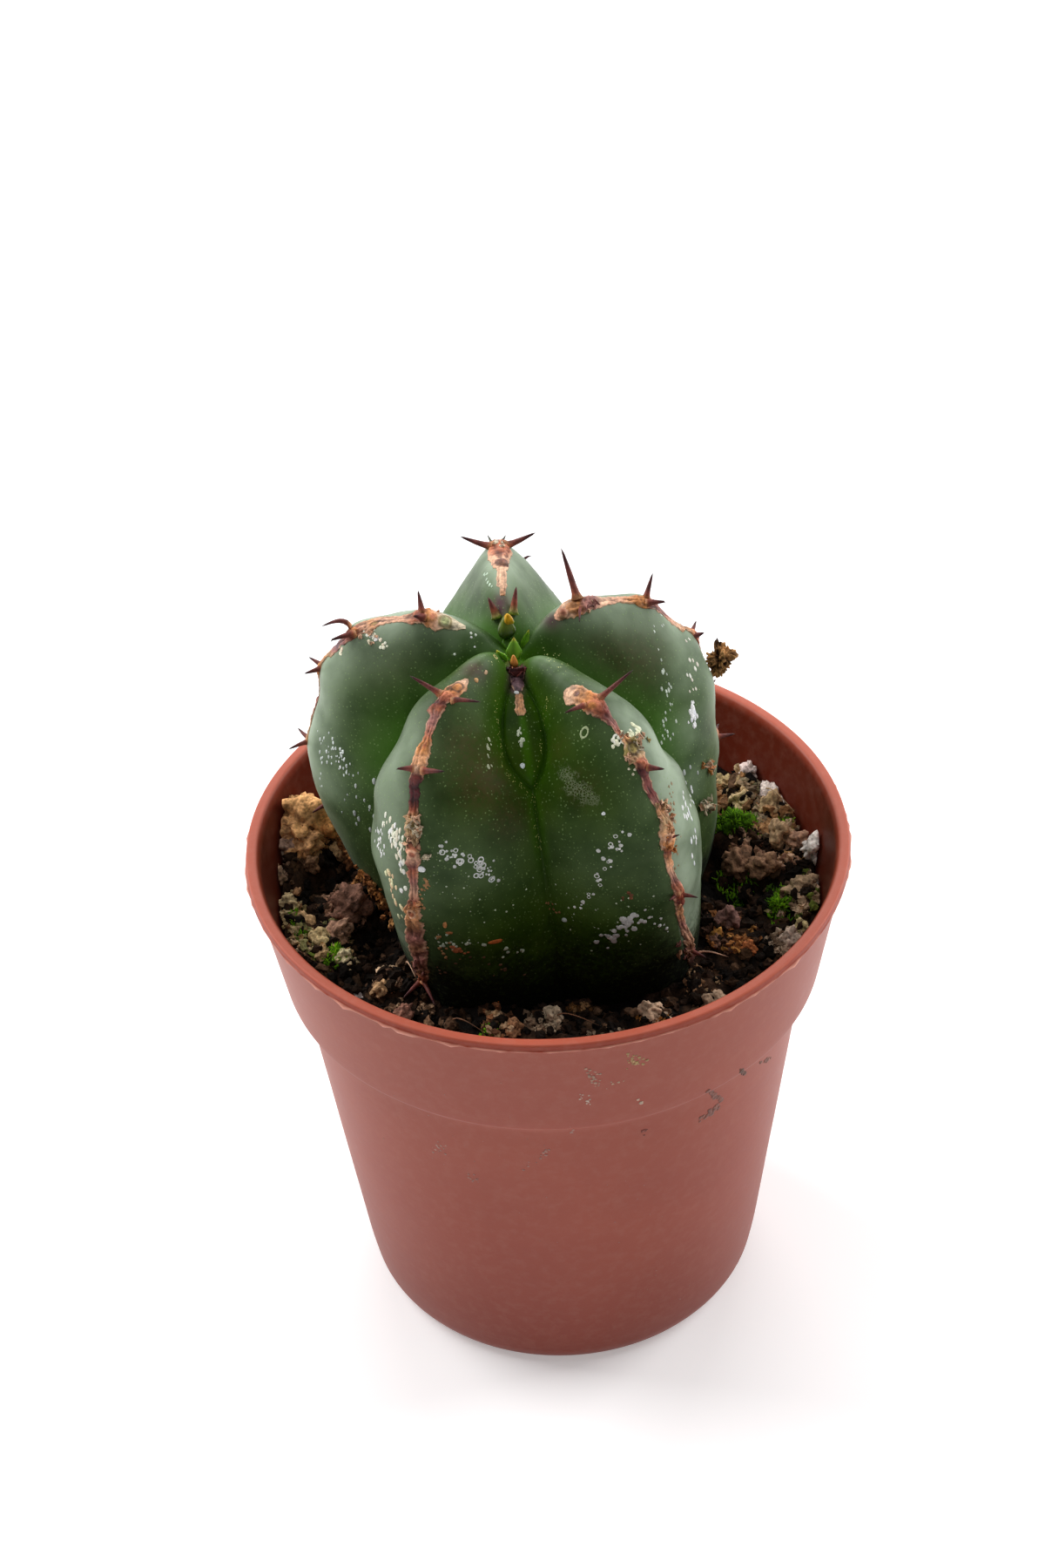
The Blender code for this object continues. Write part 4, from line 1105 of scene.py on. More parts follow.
def tracedSpine(model, rib, rootX, rootY, tipX, tipY, nearer, radius, bow, hook):
    eye, backward = np.array(cameraSetup["place"]), cameraAxes()[2]
    start = hitBetween(rootX, rootY, (rootX, rootY + 5))
    ray = photoRay(tipX, tipY)
    depth = (eye - start) @ backward - nearer
    reach = eye + ray * depth / -(ray @ backward) - start
    tones = spineTones
    if rib == "back":  # the pair in the pit is young, and the short dead ones are grey
        tones = youngTones if rootY > 700 else greyTones if radius < 0.2 else spineTones
    side = sideOf(reach, np.array((0.0, 0, 1)), backward)
    return bendSpine(model, start, reach, side, radius, bow, hook, tones)


# Horn: dead corky tissue, dried on the rib's edge, so it is matt, cracked and from straw to dark wine
hornLook = {
    "roughness": 0.6,
    "grain": (0.3, 4, (0.3, 0.7, 0.7, 1.25)),
    "cells": (0.7, "DISTANCE_TO_EDGE", (0, 0.05, 0.75, 1)),
    "roughFrom": (0.42, 0.68),
    "bump": (0.5, 0.06),
    "shader": {"Specular IOR Level": 0.35},
}
horn = makeTintedMaterial("driedHorn", hornLook)
spineModel = modelSpine()
for rib, shape in margins.items():
    strips = [modelStrip(rib, stations, shape["eyes"]) for stations in shape["traced"]]
    if "hidden" in shape:
        strips.append(modelStrip(rib, shape["hidden"], ()))
    spines = [tracedSpine(spineModel, rib, *spine) for spine in shape["tracedSpines"]]
    spines += [hiddenSpine(spineModel, rib, *spine) for spine in shape.get("hiddenSpines", ())]
    margin = joinPieces("horny_" + rib, [*strips, copyModels("spines", spines)])
    finishPiece(margin, horn, ["margin_" + rib])
print("margins modelled")


# Growing tip: small leaves that soon fall, and buds

growth = {
    # leaves: photo x and y of the foot, direction of the tip, length, width, tone
    "leaves": (
        ((590, 754), (.05, .35, .93), 2, 1.4, "#6B9A28"), ((601, 742), (.35, .25, .9), 1.9, .75, "#6A9A1C"),
        ((578, 757), (-.55, .1, .8), 1.3, 1, "#5F8F16"), ((584, 741), (-.2, .7, .7), 1.4, 1, "#4F7F10"),
    ),
    # buds: photo x and y of the foot, direction, length, width, tone of the foot and of the tip
    "buds": (
        ((581, 730), (.02, .15, 1), 2.3, 1.55, "#2A4409", "#56660F"),
        ((583.5, 717), (0, -.4, .9), 2.2, .95, "#7A7E1A", "#D9A21E"),
        ((590, 765), (0, .1, 1), 1.5, .7, "#8A6426", "#E2934A"),
    ),
}


def modelLeaf():
    # a pointed leaf with a folded keel, one unit long and wide
    leaf = addPrimitive("leaf", bpy.ops.mesh.primitive_grid_add, x_subdivisions=8, y_subdivisions=12, size=mm)
    points = readPoints(leaf) + (0, 0.5, 0)
    along, side = points[:, 1], points[:, 0] * 2
    outline = np.interp(along, (0, 0.15, 0.45, 0.8, 1), (0.4, 0.7, 1, 0.45, 0))
    keel = 0.28 * abs(side) * outline - 0.25 * along ** 2
    movePoints(leaf, np.column_stack([side * outline / 2, along, keel]))
    applyModifier(leaf, "SOLIDIFY", thickness=0.12 * mm, offset=0)
    return takeModel(leaf)


def modelBud():
    bud = addPrimitive("bud", bpy.ops.mesh.primitive_uv_sphere_add, radius=0.5 * mm,
                       segments=16, ring_count=14)
    points = readPoints(bud) + (0, 0, 0.5)
    along = points[:, 2]
    swell = np.interp(along, (0, 0.3, 0.7, 1), (0.9, 1.15, 0.75, 0.6))
    ridge = 1 + 0.12 * np.cos(3 * np.arctan2(points[:, 1], points[:, 0]))
    movePoints(bud, np.column_stack([points[:, :2] * (swell * ridge)[:, None], along]))
    return takeModel(bud)


def standingFrame(direction, facing=(0, -1, 0.2)):
    ahead = np.array(direction) / np.linalg.norm(direction)
    side = np.cross(ahead, facing)
    side /= np.linalg.norm(side)
    return side, ahead, np.cross(side, ahead)


def standUp(points, foot, axes, sizes):
    # a model's points on their foot, along three axes of their own
    return foot + (points * sizes) @ np.array(axes)


def modelGrowth():
    copies = []
    points, faces = modelLeaf()
    for (x, y), direction, length, width, tone in growth["leaves"]:
        side, ahead, out = standingFrame(direction)
        foot = photoHit(stemHit, x, y)[0] - ahead * 0.3
        placed = standUp(points, foot, (side, ahead, out), (width, length, width))
        fade = (0.75 + 0.5 * points[:, 1:2]) * linear(tone)
        tip = smoothStep(points[:, 1:2], 0.8, 1.0)
        copies.append((placed, faces, fade * (1 - tip) + linear("#C9B13A") * tip))
    points, faces = modelBud()
    for (x, y), direction, length, width, low, high in growth["buds"]:
        side, ahead, out = standingFrame(direction)
        foot = photoHit(stemHit, x, y)[0] - ahead * 0.3
        placed = standUp(points, foot, (side, out, ahead), (width, width, length))
        share = smoothStep(points[:, 2:], 0.25, 0.75)
        copies.append((placed, faces, linear(low) * (1 - share) + linear(high) * share))
    return copyModels("growingTip", copies)


# Young leaf and bud scale: thin, juicy and fresh, so light comes through it and it shines softly
leafLook = {
    "roughness": 0.4,
    "ior": 1.42,
    "grain": (0.5, 3, (0, 1, 0.6, 1.35)),
    "bump": (0.3, 0.04),
    "shader": {"Subsurface Weight": 0.3, "Subsurface Radius": (0.6, 1.0, 0.2), "Subsurface Scale": 0.4 * mm},
}
finishPiece(modelGrowth(), makeTintedMaterial("youngLeaf", leafLook))
print("growing tip modelled")


# Marks: rings and dots of lime from hard water, orange scabs, and splashes on the pot

def single(kind, x, y, radius, stretch, tone):
    # one mark by itself, in the same form as the rows of marks
    return kind, 1, (x, y), (x, y), 0, (radius, round(radius + 0.01, 2)), stretch, tone


marks = {
    # kind, count, photo x and y from and to, spread in pixels, radius from and to, stretch downwards, tone
    "lime": (
        ("ring", 16, (508, 974), (568, 1003), 7, (.14, .3), 1, "#C2C4C0"),
        ("dot", 34, (506, 972), (570, 1005), 9, (.07, .2), 1, "#B4B7B3"),
        ("ring", 9, (716, 953), (668, 1043), 6, (.15, .26), 1, "#BDBFBA"),
        ("dot", 22, (718, 953), (664, 1045), 7, (.09, .22), 1, "#BDBFBA"),
        ("dot", 36, (738, 1050), (692, 1080), 8, (.12, .34), 1, "#A5A5A2"),
        ("dot", 10, (750, 1052), (765, 1062), 8, (.08, .2), 1, "#ADAEAB"),
        ("dot", 12, (782, 905), (790, 940), 6, (.08, .16), 2.2, "#D7DDDA"),
        ("dot", 62, (447, 945), (466, 1000), 8, (.07, .17), 2.2, "#D3CDB8"),
        ("dot", 24, (432, 950), (440, 985), 5, (.06, .14), 2, "#D5D8D0"),
        ("dot", 14, (446, 990), (458, 1060), 6, (.1, .22), 1.8, "#D8BC94"),
        ("dot", 2, (444, 996), (447, 1003), 0, (.24, .28), 1.7, "#D2AE88"),
        single("dot", 450, 1017, .24, 1.5, "#D2AE88"),
        ("dot", 2, (460, 1023), (467, 1019), 0, (.22, .26), 1.3, "#DCD6C4"),
        ("dot", 2, (488, 981), (482, 1003), 0, (.3, .45), 1, "#C9CFD0"),
        ("dot", 34, (378, 850), (396, 885), 7, (.06, .16), 1.5, "#B9C0BC"),
        ("dot", 14, (365, 835), (372, 900), 5, (.06, .13), 1.8, "#B9C0BC"),
        ("dot", 34, (758, 700), (770, 880), 8, (.06, .13), 1.8, "#AFB8AC"),
        ("dot", 16, (796, 810), (797, 832), 4, (.1, .3), 1.6, "#DADBE2"),
        ("dot", 12, (784, 720), (800, 800), 6, (.08, .18), 1.5, "#C9C2B4"),
        ("dot", 14, (793, 900), (798, 1010), 5, (.08, .2), 2.2, "#C6C9CC"),
        ("dot", 60, (480, 1010), (760, 1060), 26, (.04, .11), 1, "#9BA58F"),
        ("dot", 30, (500, 1080), (600, 1092), 7, (.06, .2), 1, "#97A18F"),
        ("dot", 34, (569, 800), (577, 880), 2, (.03, .055), 1, "#A8A860"),
        ("dot", 34, (628, 800), (614, 905), 2, (.03, .055), 1, "#A8A860"),
        ("dot", 40, (612, 905), (620, 985), 3, (.03, .055), 1, "#A8A860"),
        ("dot", 30, (580, 885), (608, 912), 3, (.03, .055), 1, "#A8A860"),
        ("dot", 26, (562, 762), (600, 745), 6, (.03, .055), 1, "#B4B878"),
        ("dot", 26, (625, 745), (650, 765), 6, (.03, .055), 1, "#B4B878"),
        ("dot", 12, (596, 838), (602, 860), 3, (.06, .16), 1.6, "#A7AF98"),
        ("dot", 12, (560, 848), (564, 882), 3, (.06, .16), 1.6, "#9BA183"),
        single("dot", 593, 795, .24, 1, "#E4E6E6"), single("dot", 600, 879, .24, 1, "#C9D2D2"),
        single("dot", 693, 934, .18, 1, "#C9D2D2"), single("dot", 648, 1056, .26, 1, "#A9B2AE"),
        single("dot", 597, 771, .2, 1, "#C0B8BA"), single("ring", 671, 841, .4, 1.4, "#8F9A72"),
        single("ring", 709, 849, .42, 1.2, "#D9D6CA"),
        ("ring", 3, (545, 1003), (560, 1010), 8, (.24, .34), 1, "#C3CBC9"),
        ("dot", 26, (700, 858), (735, 835), 5, (.1, .26), 1.2, "#C9CBAA"),
        ("dot", 12, (725, 880), (735, 880), 7, (.07, .15), 1, "#B4AE96"),
        ("dot", 26, (420, 726), (440, 740), 6, (.1, .26), 1, "#DCCFB8"),
        ("dot", 5, (388, 744), (394, 750), 3, (.12, .24), 1, "#D9C7AE"),
        ("dot", 12, (776, 706), (795, 722), 4, (.12, .3), 1.2, "#D8D4CC"),
        ("dot", 5, (525, 736), (545, 732), 8, (.08, .14), 1, "#C9D0C4"),
        ("dot", 7, (556, 655), (563, 672), 4, (.1, .2), 1, "#A9BBA6"),
    ),
    "scabs": (
        single("dot", 511, 1062, .2, 1.9, "#D08C52"), single("dot", 516, 1071, .34, .5, "#C57A44"),
        single("dot", 569, 1081, .72, .32, "#B8602A"),
        ("dot", 9, (520, 1092), (536, 1092), 3, (.14, .34), .7, "#B2653C"),
        ("dot", 14, (490, 1077), (520, 1095), 8, (.08, .2), .8, "#A87A50"),
        ("dot", 16, (500, 1100), (600, 1120), 14, (.08, .2), .8, "#6A4A34"),
        ("dot", 10, (628, 1035), (640, 1045), 4, (.07, .16), 1, "#9A6A44"),
        ("dot", 6, (717, 1030), (728, 1024), 4, (.1, .2), 1, "#7A4A2C"),
        single("dot", 547, 781, .24, 1, "#DDAA6E"), single("dot", 558, 772, .28, .6, "#CDA884"),
        single("ring", 569, 754, .2, 1.3, "#E3D08A"),
        ("dot", 24, (480, 1045), (492, 1010), 4, (.08, .18), 1, "#B08052"),
        ("dot", 24, (770, 900), (780, 1000), 6, (.07, .16), 1.3, "#A08A68"),
    ),
    # specks of hard water and soil that splashed on the pot
    "splashes": (
        ("dot", 30, (722, 1213), (736, 1221), 7, (.04, .2), 1, "#A98A5C"),
        ("dot", 26, (677, 1231), (688, 1243), 8, (.04, .18), 1, "#A88672"),
        ("dot", 12, (667, 1257), (674, 1266), 5, (.04, .18), 1, "#BCA596"),
        ("dot", 5, (735, 1264), (737, 1266), 2, (.1, .2), 1, "#C4AA94"),
        ("dot", 8, (700, 1244), (720, 1241), 3, (.04, .12), 1, "#B59A80"),
        ("dot", 8, (655, 1296), (660, 1299), 4, (.05, .15), 1, "#A98377"),
        ("dot", 16, (632, 1316), (606, 1341), 5, (.05, .17), 1, "#A07468"),
        ("dot", 14, (500, 1316), (508, 1322), 7, (.04, .14), 1, "#A98377"),
        ("dot", 10, (540, 1350), (546, 1356), 6, (.04, .14), 1, "#A07468"),
        ("dot", 14, (850, 1229), (856, 1233), 1.4, (.12, .3), 1, "#6A483C"),
        ("dot", 10, (873, 1220), (886, 1215), 1.5, (.12, .3), 1, "#86594C"),
        ("dot", 20, (816, 1254), (829, 1264), 2.2, (.12, .32), 1, "#84564A"),
        ("dot", 20, (826, 1268), (802, 1287), 2.4, (.12, .34), 1, "#84564A"),
        ("dot", 9, (737, 1298), (741, 1300), 3, (.06, .16), 1, "#74382C"),
        ("dot", 60, (420, 1230), (860, 1500), 60, (.03, .08), 1, "#9A6A5C"),
    ),
    # the same on the side that the photograph hides: kind, count, azimuth, polar, spread in degrees
    "hidden": (
        ("dot", 30, 60, 78, 5, (.07, .2), 1.5, "#BDBFBA"), ("ring", 8, 118, 70, 5, (.15, .28), 1, "#BDBFBA"),
        ("dot", 34, 128, 84, 6, (.07, .2), 1.5, "#BDBFBA"),
        ("dot", 26, 195, 88, 6, (.07, .2), 1.8, "#B9C0BC"),
        ("dot", 20, 345, 86, 5, (.07, .2), 1.8, "#B9C0BC"), ("dot", 16, 80, 60, 4, (.07, .18), 1, "#A9BBA6"),
    ),
}


def modelDot():
    dot = addPrimitive("dot", bpy.ops.mesh.primitive_ico_sphere_add, subdivisions=2, radius=mm)
    points = readPoints(dot)
    movePoints(dot, points * (1 + 0.35 * noiseAt(points, 1.1, 41))[:, None] * (1, 1, 0.3))
    return takeModel(dot)


def modelRing():
    ring = addPrimitive("ring", bpy.ops.mesh.primitive_torus_add, major_segments=14, minor_segments=5,
                        major_radius=0.8 * mm, minor_radius=0.22 * mm)
    points = readPoints(ring)
    movePoints(ring, points * (1 + 0.12 * noiseAt(points, 1.1, 42))[:, None] * (1, 1, 0.5))
    return takeModel(ring)


markModels = {"dot": modelDot(), "ring": modelRing()}
markShape = {"thickest": 0.2, "scatter": 0.6, "bright": (0.7, 1.1), "palest": 0.93}


def layMark(kind, place, normal, radius, stretch, spin, tint):
    points, faces = markModels[kind]
    down = np.array((0, 0, -1.0)) - normal * -normal[2]
    down /= np.linalg.norm(down) + 1e-6
    side = np.cross(down, normal)
    turned = points[:, :2]
    if stretch == 1:
        turned = turned @ np.array([[cos(spin), -sin(spin)], [sin(spin), cos(spin)]])
    flat = side * turned[:, :1] + down * turned[:, 1:] * stretch
    thick = normal * points[:, 2:] * min(radius, markShape["thickest"])
    return place + radius * flat + thick, faces, tint


def layMarks(name, seed, surface, lowest, bright=markShape["bright"]):
    rng = np.random.default_rng(seed)
    copies = []
    for kind, count, first, last, spread, sizes, stretch, tone in marks[name]:
        for _ in range(count):
            share = rng.uniform()
            shift = rng.normal(size=2) * spread * markShape["scatter"]
            x, y = np.array(first) * (1 - share) + np.array(last) * share + shift
            radius = rng.uniform(*sizes)
            place, normal = photoHit(surface, x, y)
            if place is None or place[2] < lowest:
                continue
            tint = np.minimum(linear(tone) * rng.uniform(*bright), markShape["palest"])
            copies.append(layMark(kind, place, normal, radius, stretch, rng.uniform(0, 6), tint))
    return copies


def layHiddenMarks(seed):
    rng = np.random.default_rng(seed)
    copies = []
    for kind, count, azimuth, polar, spread, sizes, stretch, tone in marks["hidden"]:
        for _ in range(count):
            a, p = azimuth + rng.normal() * spread, polar + rng.normal() * spread
            place = onStem(a, p)
            normal = np.cross(onStem(a, p + 1) - place, onStem(a + 1, p) - place)
            normal /= np.linalg.norm(normal)
            tint = linear(tone) * rng.uniform(*markShape["bright"])
            copies.append(layMark(kind, place, normal, rng.uniform(*sizes), stretch, rng.uniform(0, 6), tint))
    return copies


# Limescale: chalky crystals left by dried water drops, matt and grainy
limeLook = {"roughness": 0.65, "grain": (0.12, 3, (0.25, 0.75, 0.6, 1.15)), "bump": (0.5, 0.03), "shader": {}}

lowestMark = 44
limes = layMarks("lime", 5, stemHit, lowestMark, (1.2, 1.9)) + layHiddenMarks(6)
finishPiece(copyModels("limeMarks", limes), makeTintedMaterial("limeScale", limeLook))
finishPiece(copyModels("orangeScabs", layMarks("scabs", 7, stemHit, lowestMark)), horn)
print("skin marked")


# Pot

potShape = {
    # radius, height and corner rounding, up the inside, over the lip and down the outside
    "outline": (
        (0, 1.3, 0), (16.3, 1.3, 1), (18, 4.3, 1), (22.4, 36.4, .5), (23.9, 37.8, .5), (26.1, 49.3, .4),
        (26.45, 50, .3), (27.3, 50, .15), (27.42, 49.85, .08), (27.42, 49.42, .08), (27.5, 49.32, .04),
        (27.46, 49.2, .04), (27.1, 49.05, .1), (26.98, 48.8, .2), (24.95, 37.5, .3), (23.45, 36.35, .8),
        (19.05, 4.3, 1.2), (18.5, 1.4, 1), (17.5, 0, .5), (15.6, 0, .2), (15.2, .4, .2), (0, .4, 0),
    ),
    "sides": 240,
    "longestStep": 1.1,
    "drains": 5,
    "drainRadius": 2.1,
    "drainCircle": 11.5,
    "drillSides": 40,
    "drillDepth": 6,
    "flash": .22,  # ragged moulding flash under the lip
    "flashHeight": (49.1, 49.4),
    "flashRadius": 27.3,
    "flashDrop": .4,
    "wobble": .05,
    "bowlShadeHeight": (49.1, 49.9),  # painted shade: the inside is darker below
    # height and radius of the inside, and how far the soil keeps from it
    "inside": ((1.3, 16.3), (4.3, 18.0), (36.4, 22.4), (37.8, 23.9), (49.4, 25.9)),
    "clearance": 0.12,
}


def roundedOutline(corners, longest):
    points = [np.array(corners[0][:2], float)]
    for before, corner, after in zip(corners[:-2], corners[1:-1], corners[2:]):
        here = np.array(corner[:2], float)
        toBefore, toAfter = np.array(before[:2]) - here, np.array(after[:2]) - here
        cut = min(corner[2], 0.45 * np.linalg.norm(toBefore), 0.45 * np.linalg.norm(toAfter))
        first = here + toBefore / np.linalg.norm(toBefore) * cut
        last = here + toAfter / np.linalg.norm(toAfter) * cut
        for t in np.linspace(0, 1, 5):
            points.append((1 - t) ** 2 * first + 2 * t * (1 - t) * here + t * t * last)
    points.append(np.array(corners[-1][:2], float))
    outline = [points[0]]
    for point in points[1:]:
        steps = max(1, int(np.ceil(np.linalg.norm(point - outline[-1]) / longest)))
        outline += [outline[-1] + (point - outline[-1]) * k / steps for k in range(1, steps + 1)]
    return outline


def turnOnWheel(name, outline, sides):
    piece = addPrimitive(name, bpy.ops.mesh.primitive_plane_add, size=mm)
    bpy.ops.object.mode_set(mode="EDIT")
    bpy.ops.mesh.select_all(action="SELECT")
    bpy.ops.mesh.merge(type="CENTER")
    bpy.ops.transform.translate(value=(outline[0][0] * mm, 0, outline[0][1] * mm))
    for here, there in zip(outline[:-1], outline[1:]):
        step = (there - here) * mm
        bpy.ops.mesh.extrude_vertices_move(TRANSFORM_OT_translate={"value": (step[0], 0, step[1])})
    bpy.ops.mesh.select_all(action="SELECT")
    bpy.ops.mesh.spin(steps=sides, angle=2 * pi, center=(0, 0, 0), axis=(0, 0, 1))
    bpy.ops.mesh.select_all(action="SELECT")
    bpy.ops.mesh.remove_doubles(threshold=0.002 * mm)
    bpy.ops.mesh.normals_make_consistent(inside=False)
    bpy.ops.object.mode_set(mode="OBJECT")
    return piece


def wallRadius(height):
    return np.interp(height, *zip(*potShape["inside"])) - potShape["clearance"]


def modelPot():
    outline = roundedOutline(potShape["outline"], potShape["longestStep"])
    pot = turnOnWheel("nurseryPot", outline, potShape["sides"])
    drills = []
    for k in range(potShape["drains"]):
        angle = 2 * pi * (k + 0.5) / potShape["drains"]
        place = (potShape["drainCircle"] * cos(angle) * mm, potShape["drainCircle"] * sin(angle) * mm, 0)
        drills.append(addPrimitive("drill", bpy.ops.mesh.primitive_cylinder_add, location=place,
                                   vertices=potShape["drillSides"], radius=potShape["drainRadius"] * mm,
                                   depth=potShape["drillDepth"] * mm))
    drill = joinPieces("drill", drills)
    applyModifier(pot, "BOOLEAN", object=drill, operation="DIFFERENCE", solver="EXACT")
    bpy.data.objects.remove(drill, do_unlink=True)

    points = readPoints(pot)
    radius = np.hypot(points[:, 0], points[:, 1])
    low, high = potShape["flashHeight"]
    outside = (points[:, 2] > low) & (points[:, 2] < high) & (radius > potShape["flashRadius"])
    around = np.column_stack([points[:, :2] * 0.9, points[:, 2] * 0])
    ragged = noiseAt(around, 1.6, 9, 3) + 0.5 * noiseAt(around, 0.5, 10)
    out = points / np.maximum(radius, 1)[:, None] * (1, 1, 0)
    flash = potShape["flash"] * np.clip(ragged, 0, 1.5) * outside
    points += (out - (0, 0, potShape["flashDrop"])) * flash[:, None]
    points += out * (potShape["wobble"] * noiseAt(points, 14, 11))[:, None] * (radius > 20)[:, None]
    movePoints(pot, points)
    # painted highlight along the ragged flash
    setAttribute(pot, "flash", outside * np.clip(0.6 + 0.9 * ragged, 0, 1))
    bowlShade = (radius < wallRadius(points[:, 2]) + 0.5) & (points[:, 2] > 3)
    setAttribute(pot, "bowlShade", bowlShade * (1 - smoothStep(points[:, 2], *potShape["bowlShadeHeight"])))
    return pot


# Polypropylene, injection moulded and coloured like clay: satin, a little translucent, with faint
# turning marks from the mould, dried-on dust and smears of wet soil; its colour is painted lighter higher up,
# with painted shade at the foot, inside and on the lip's outer side, and painted highlights on the lip's top
# and on the flash
potLook = {
    "roughness": 0.42,
    "ior": 1.49,
    # size in mm, detail, roughness; the lines are drawn out round the pot
    "cloud": (16, 4, 0.5),
    "fine": (1.1, 5, 0.65),
    "lines": (0.6, 3, 0.5),
    "lineStretch": (0.06, 0.06, 1),
    "clay": ((0.3, "#8A3827"), (0.7, "#93402C")),
    # painted light: lighter higher up and darker towards the foot; tone, height in mm where it begins and is
    # full, strength
    "paintedLightRise": ("#AA5F4C", 4, 50, 0.32),
    # painted shade at the foot and on the lip's outer side, and a painted highlight on the lip's top: height
    # in mm where each begins and is full, tone
    "shadeAndHighlightBands": ((20, 0, "#7A3020"), (48.9, 49.15, "#963822"), (49.78, 49.95, "#BC604A")),
    "shadeAndHighlightMost": 0.8,
    # painted highlight on the moulding flash
    "flash": ("#DE9E8A", 0.8),
    # painted shade inside the pot
    "bowlShade": ("#64200F", 0.92),
    "dust": ("#C9A08F", 0.45, 0.75, 0.09),  # tone, where it begins and is full, strength
    "roughFrom": (0.36, 0.55),
    "bump": (0.25, 0.04),
    "shader": {
        "Specular IOR Level": 0.26,
        "Subsurface Weight": 0.12,
        "Subsurface Radius": (1.0, 0.35, 0.25),
        "Subsurface Scale": 0.6 * mm,
    },
}


def makePotMaterial():
    material, tree, shader = startMaterial("claypolypropylene", potLook["roughness"], potLook["ior"])

    def noisePattern(name, vector):
        size, detail, roughness = potLook[name]
        return addNode(tree, "TexNoise", {"Vector": vector, "Scale": 1 / (size * mm), "Detail": detail,
                                          "Roughness": roughness})

    place = addNode(tree, "TexCoord").outputs["Object"]
    height = addNode(tree, "SeparateXYZ", {"Vector": place}).outputs["Z"]
    cloud, fine = noisePattern("cloud", place), noisePattern("fine", place)
    flat = addNode(tree, "Mapping", {"Vector": place, "Scale": potLook["lineStretch"]})
    colour = addNode(tree, "ValToRGB", {"Fac": cloud}, stops=potLook["clay"])
    # painted light: lighter higher up and darker towards the foot
    tone, low, high, most = potLook["paintedLightRise"]
    rise = addNode(tree, "MapRange", (height, low * mm, high * mm, 0, most))
    colour = addNode(tree, "Mix", {"Factor": rise, "A": colour, "B": tone}, data_type="RGBA")
    # painted shade and painted highlight in bands by height
    for low, high, tone in potLook["shadeAndHighlightBands"]:
        paintedBand = addNode(tree, "MapRange", (height, low * mm, high * mm))
        colour = layer(tree, colour, tone, paintedBand, potLook["shadeAndHighlightMost"])
    for name in ("flash", "bowlShade"):
        mask = addNode(tree, "Attribute", attribute_name=name).outputs["Fac"]
        tone, most = potLook[name]
        colour = layer(tree, colour, tone, mask, most)
    tone, low, high, most = potLook["dust"]
    film = addNode(tree, "MapRange", (fine, low, high, 0, most))
    colour = addNode(tree, "Mix", {"Factor": film, "A": colour, "B": tone}, data_type="RGBA")
    rough = addNode(tree, "MapRange", (fine, 0, 1, *potLook["roughFrom"]))
    relief = addNode(tree, "Math", (noisePattern("lines", flat), fine), operation="ADD")
    looks = {"Roughness": rough, **potLook["shader"]}
    finishMaterial(tree, shader, colour, relief, *potLook["bump"], looks)
    return material


pot = modelPot()
finishPiece(pot, makePotMaterial(), ["pot"])
splashes = layMarks("splashes", 8, surfaceOf(pot), 0, (0.8, 1.1))
finishPiece(copyModels("potSplashes", splashes), horn)
print("pot modelled")


# Potting mix

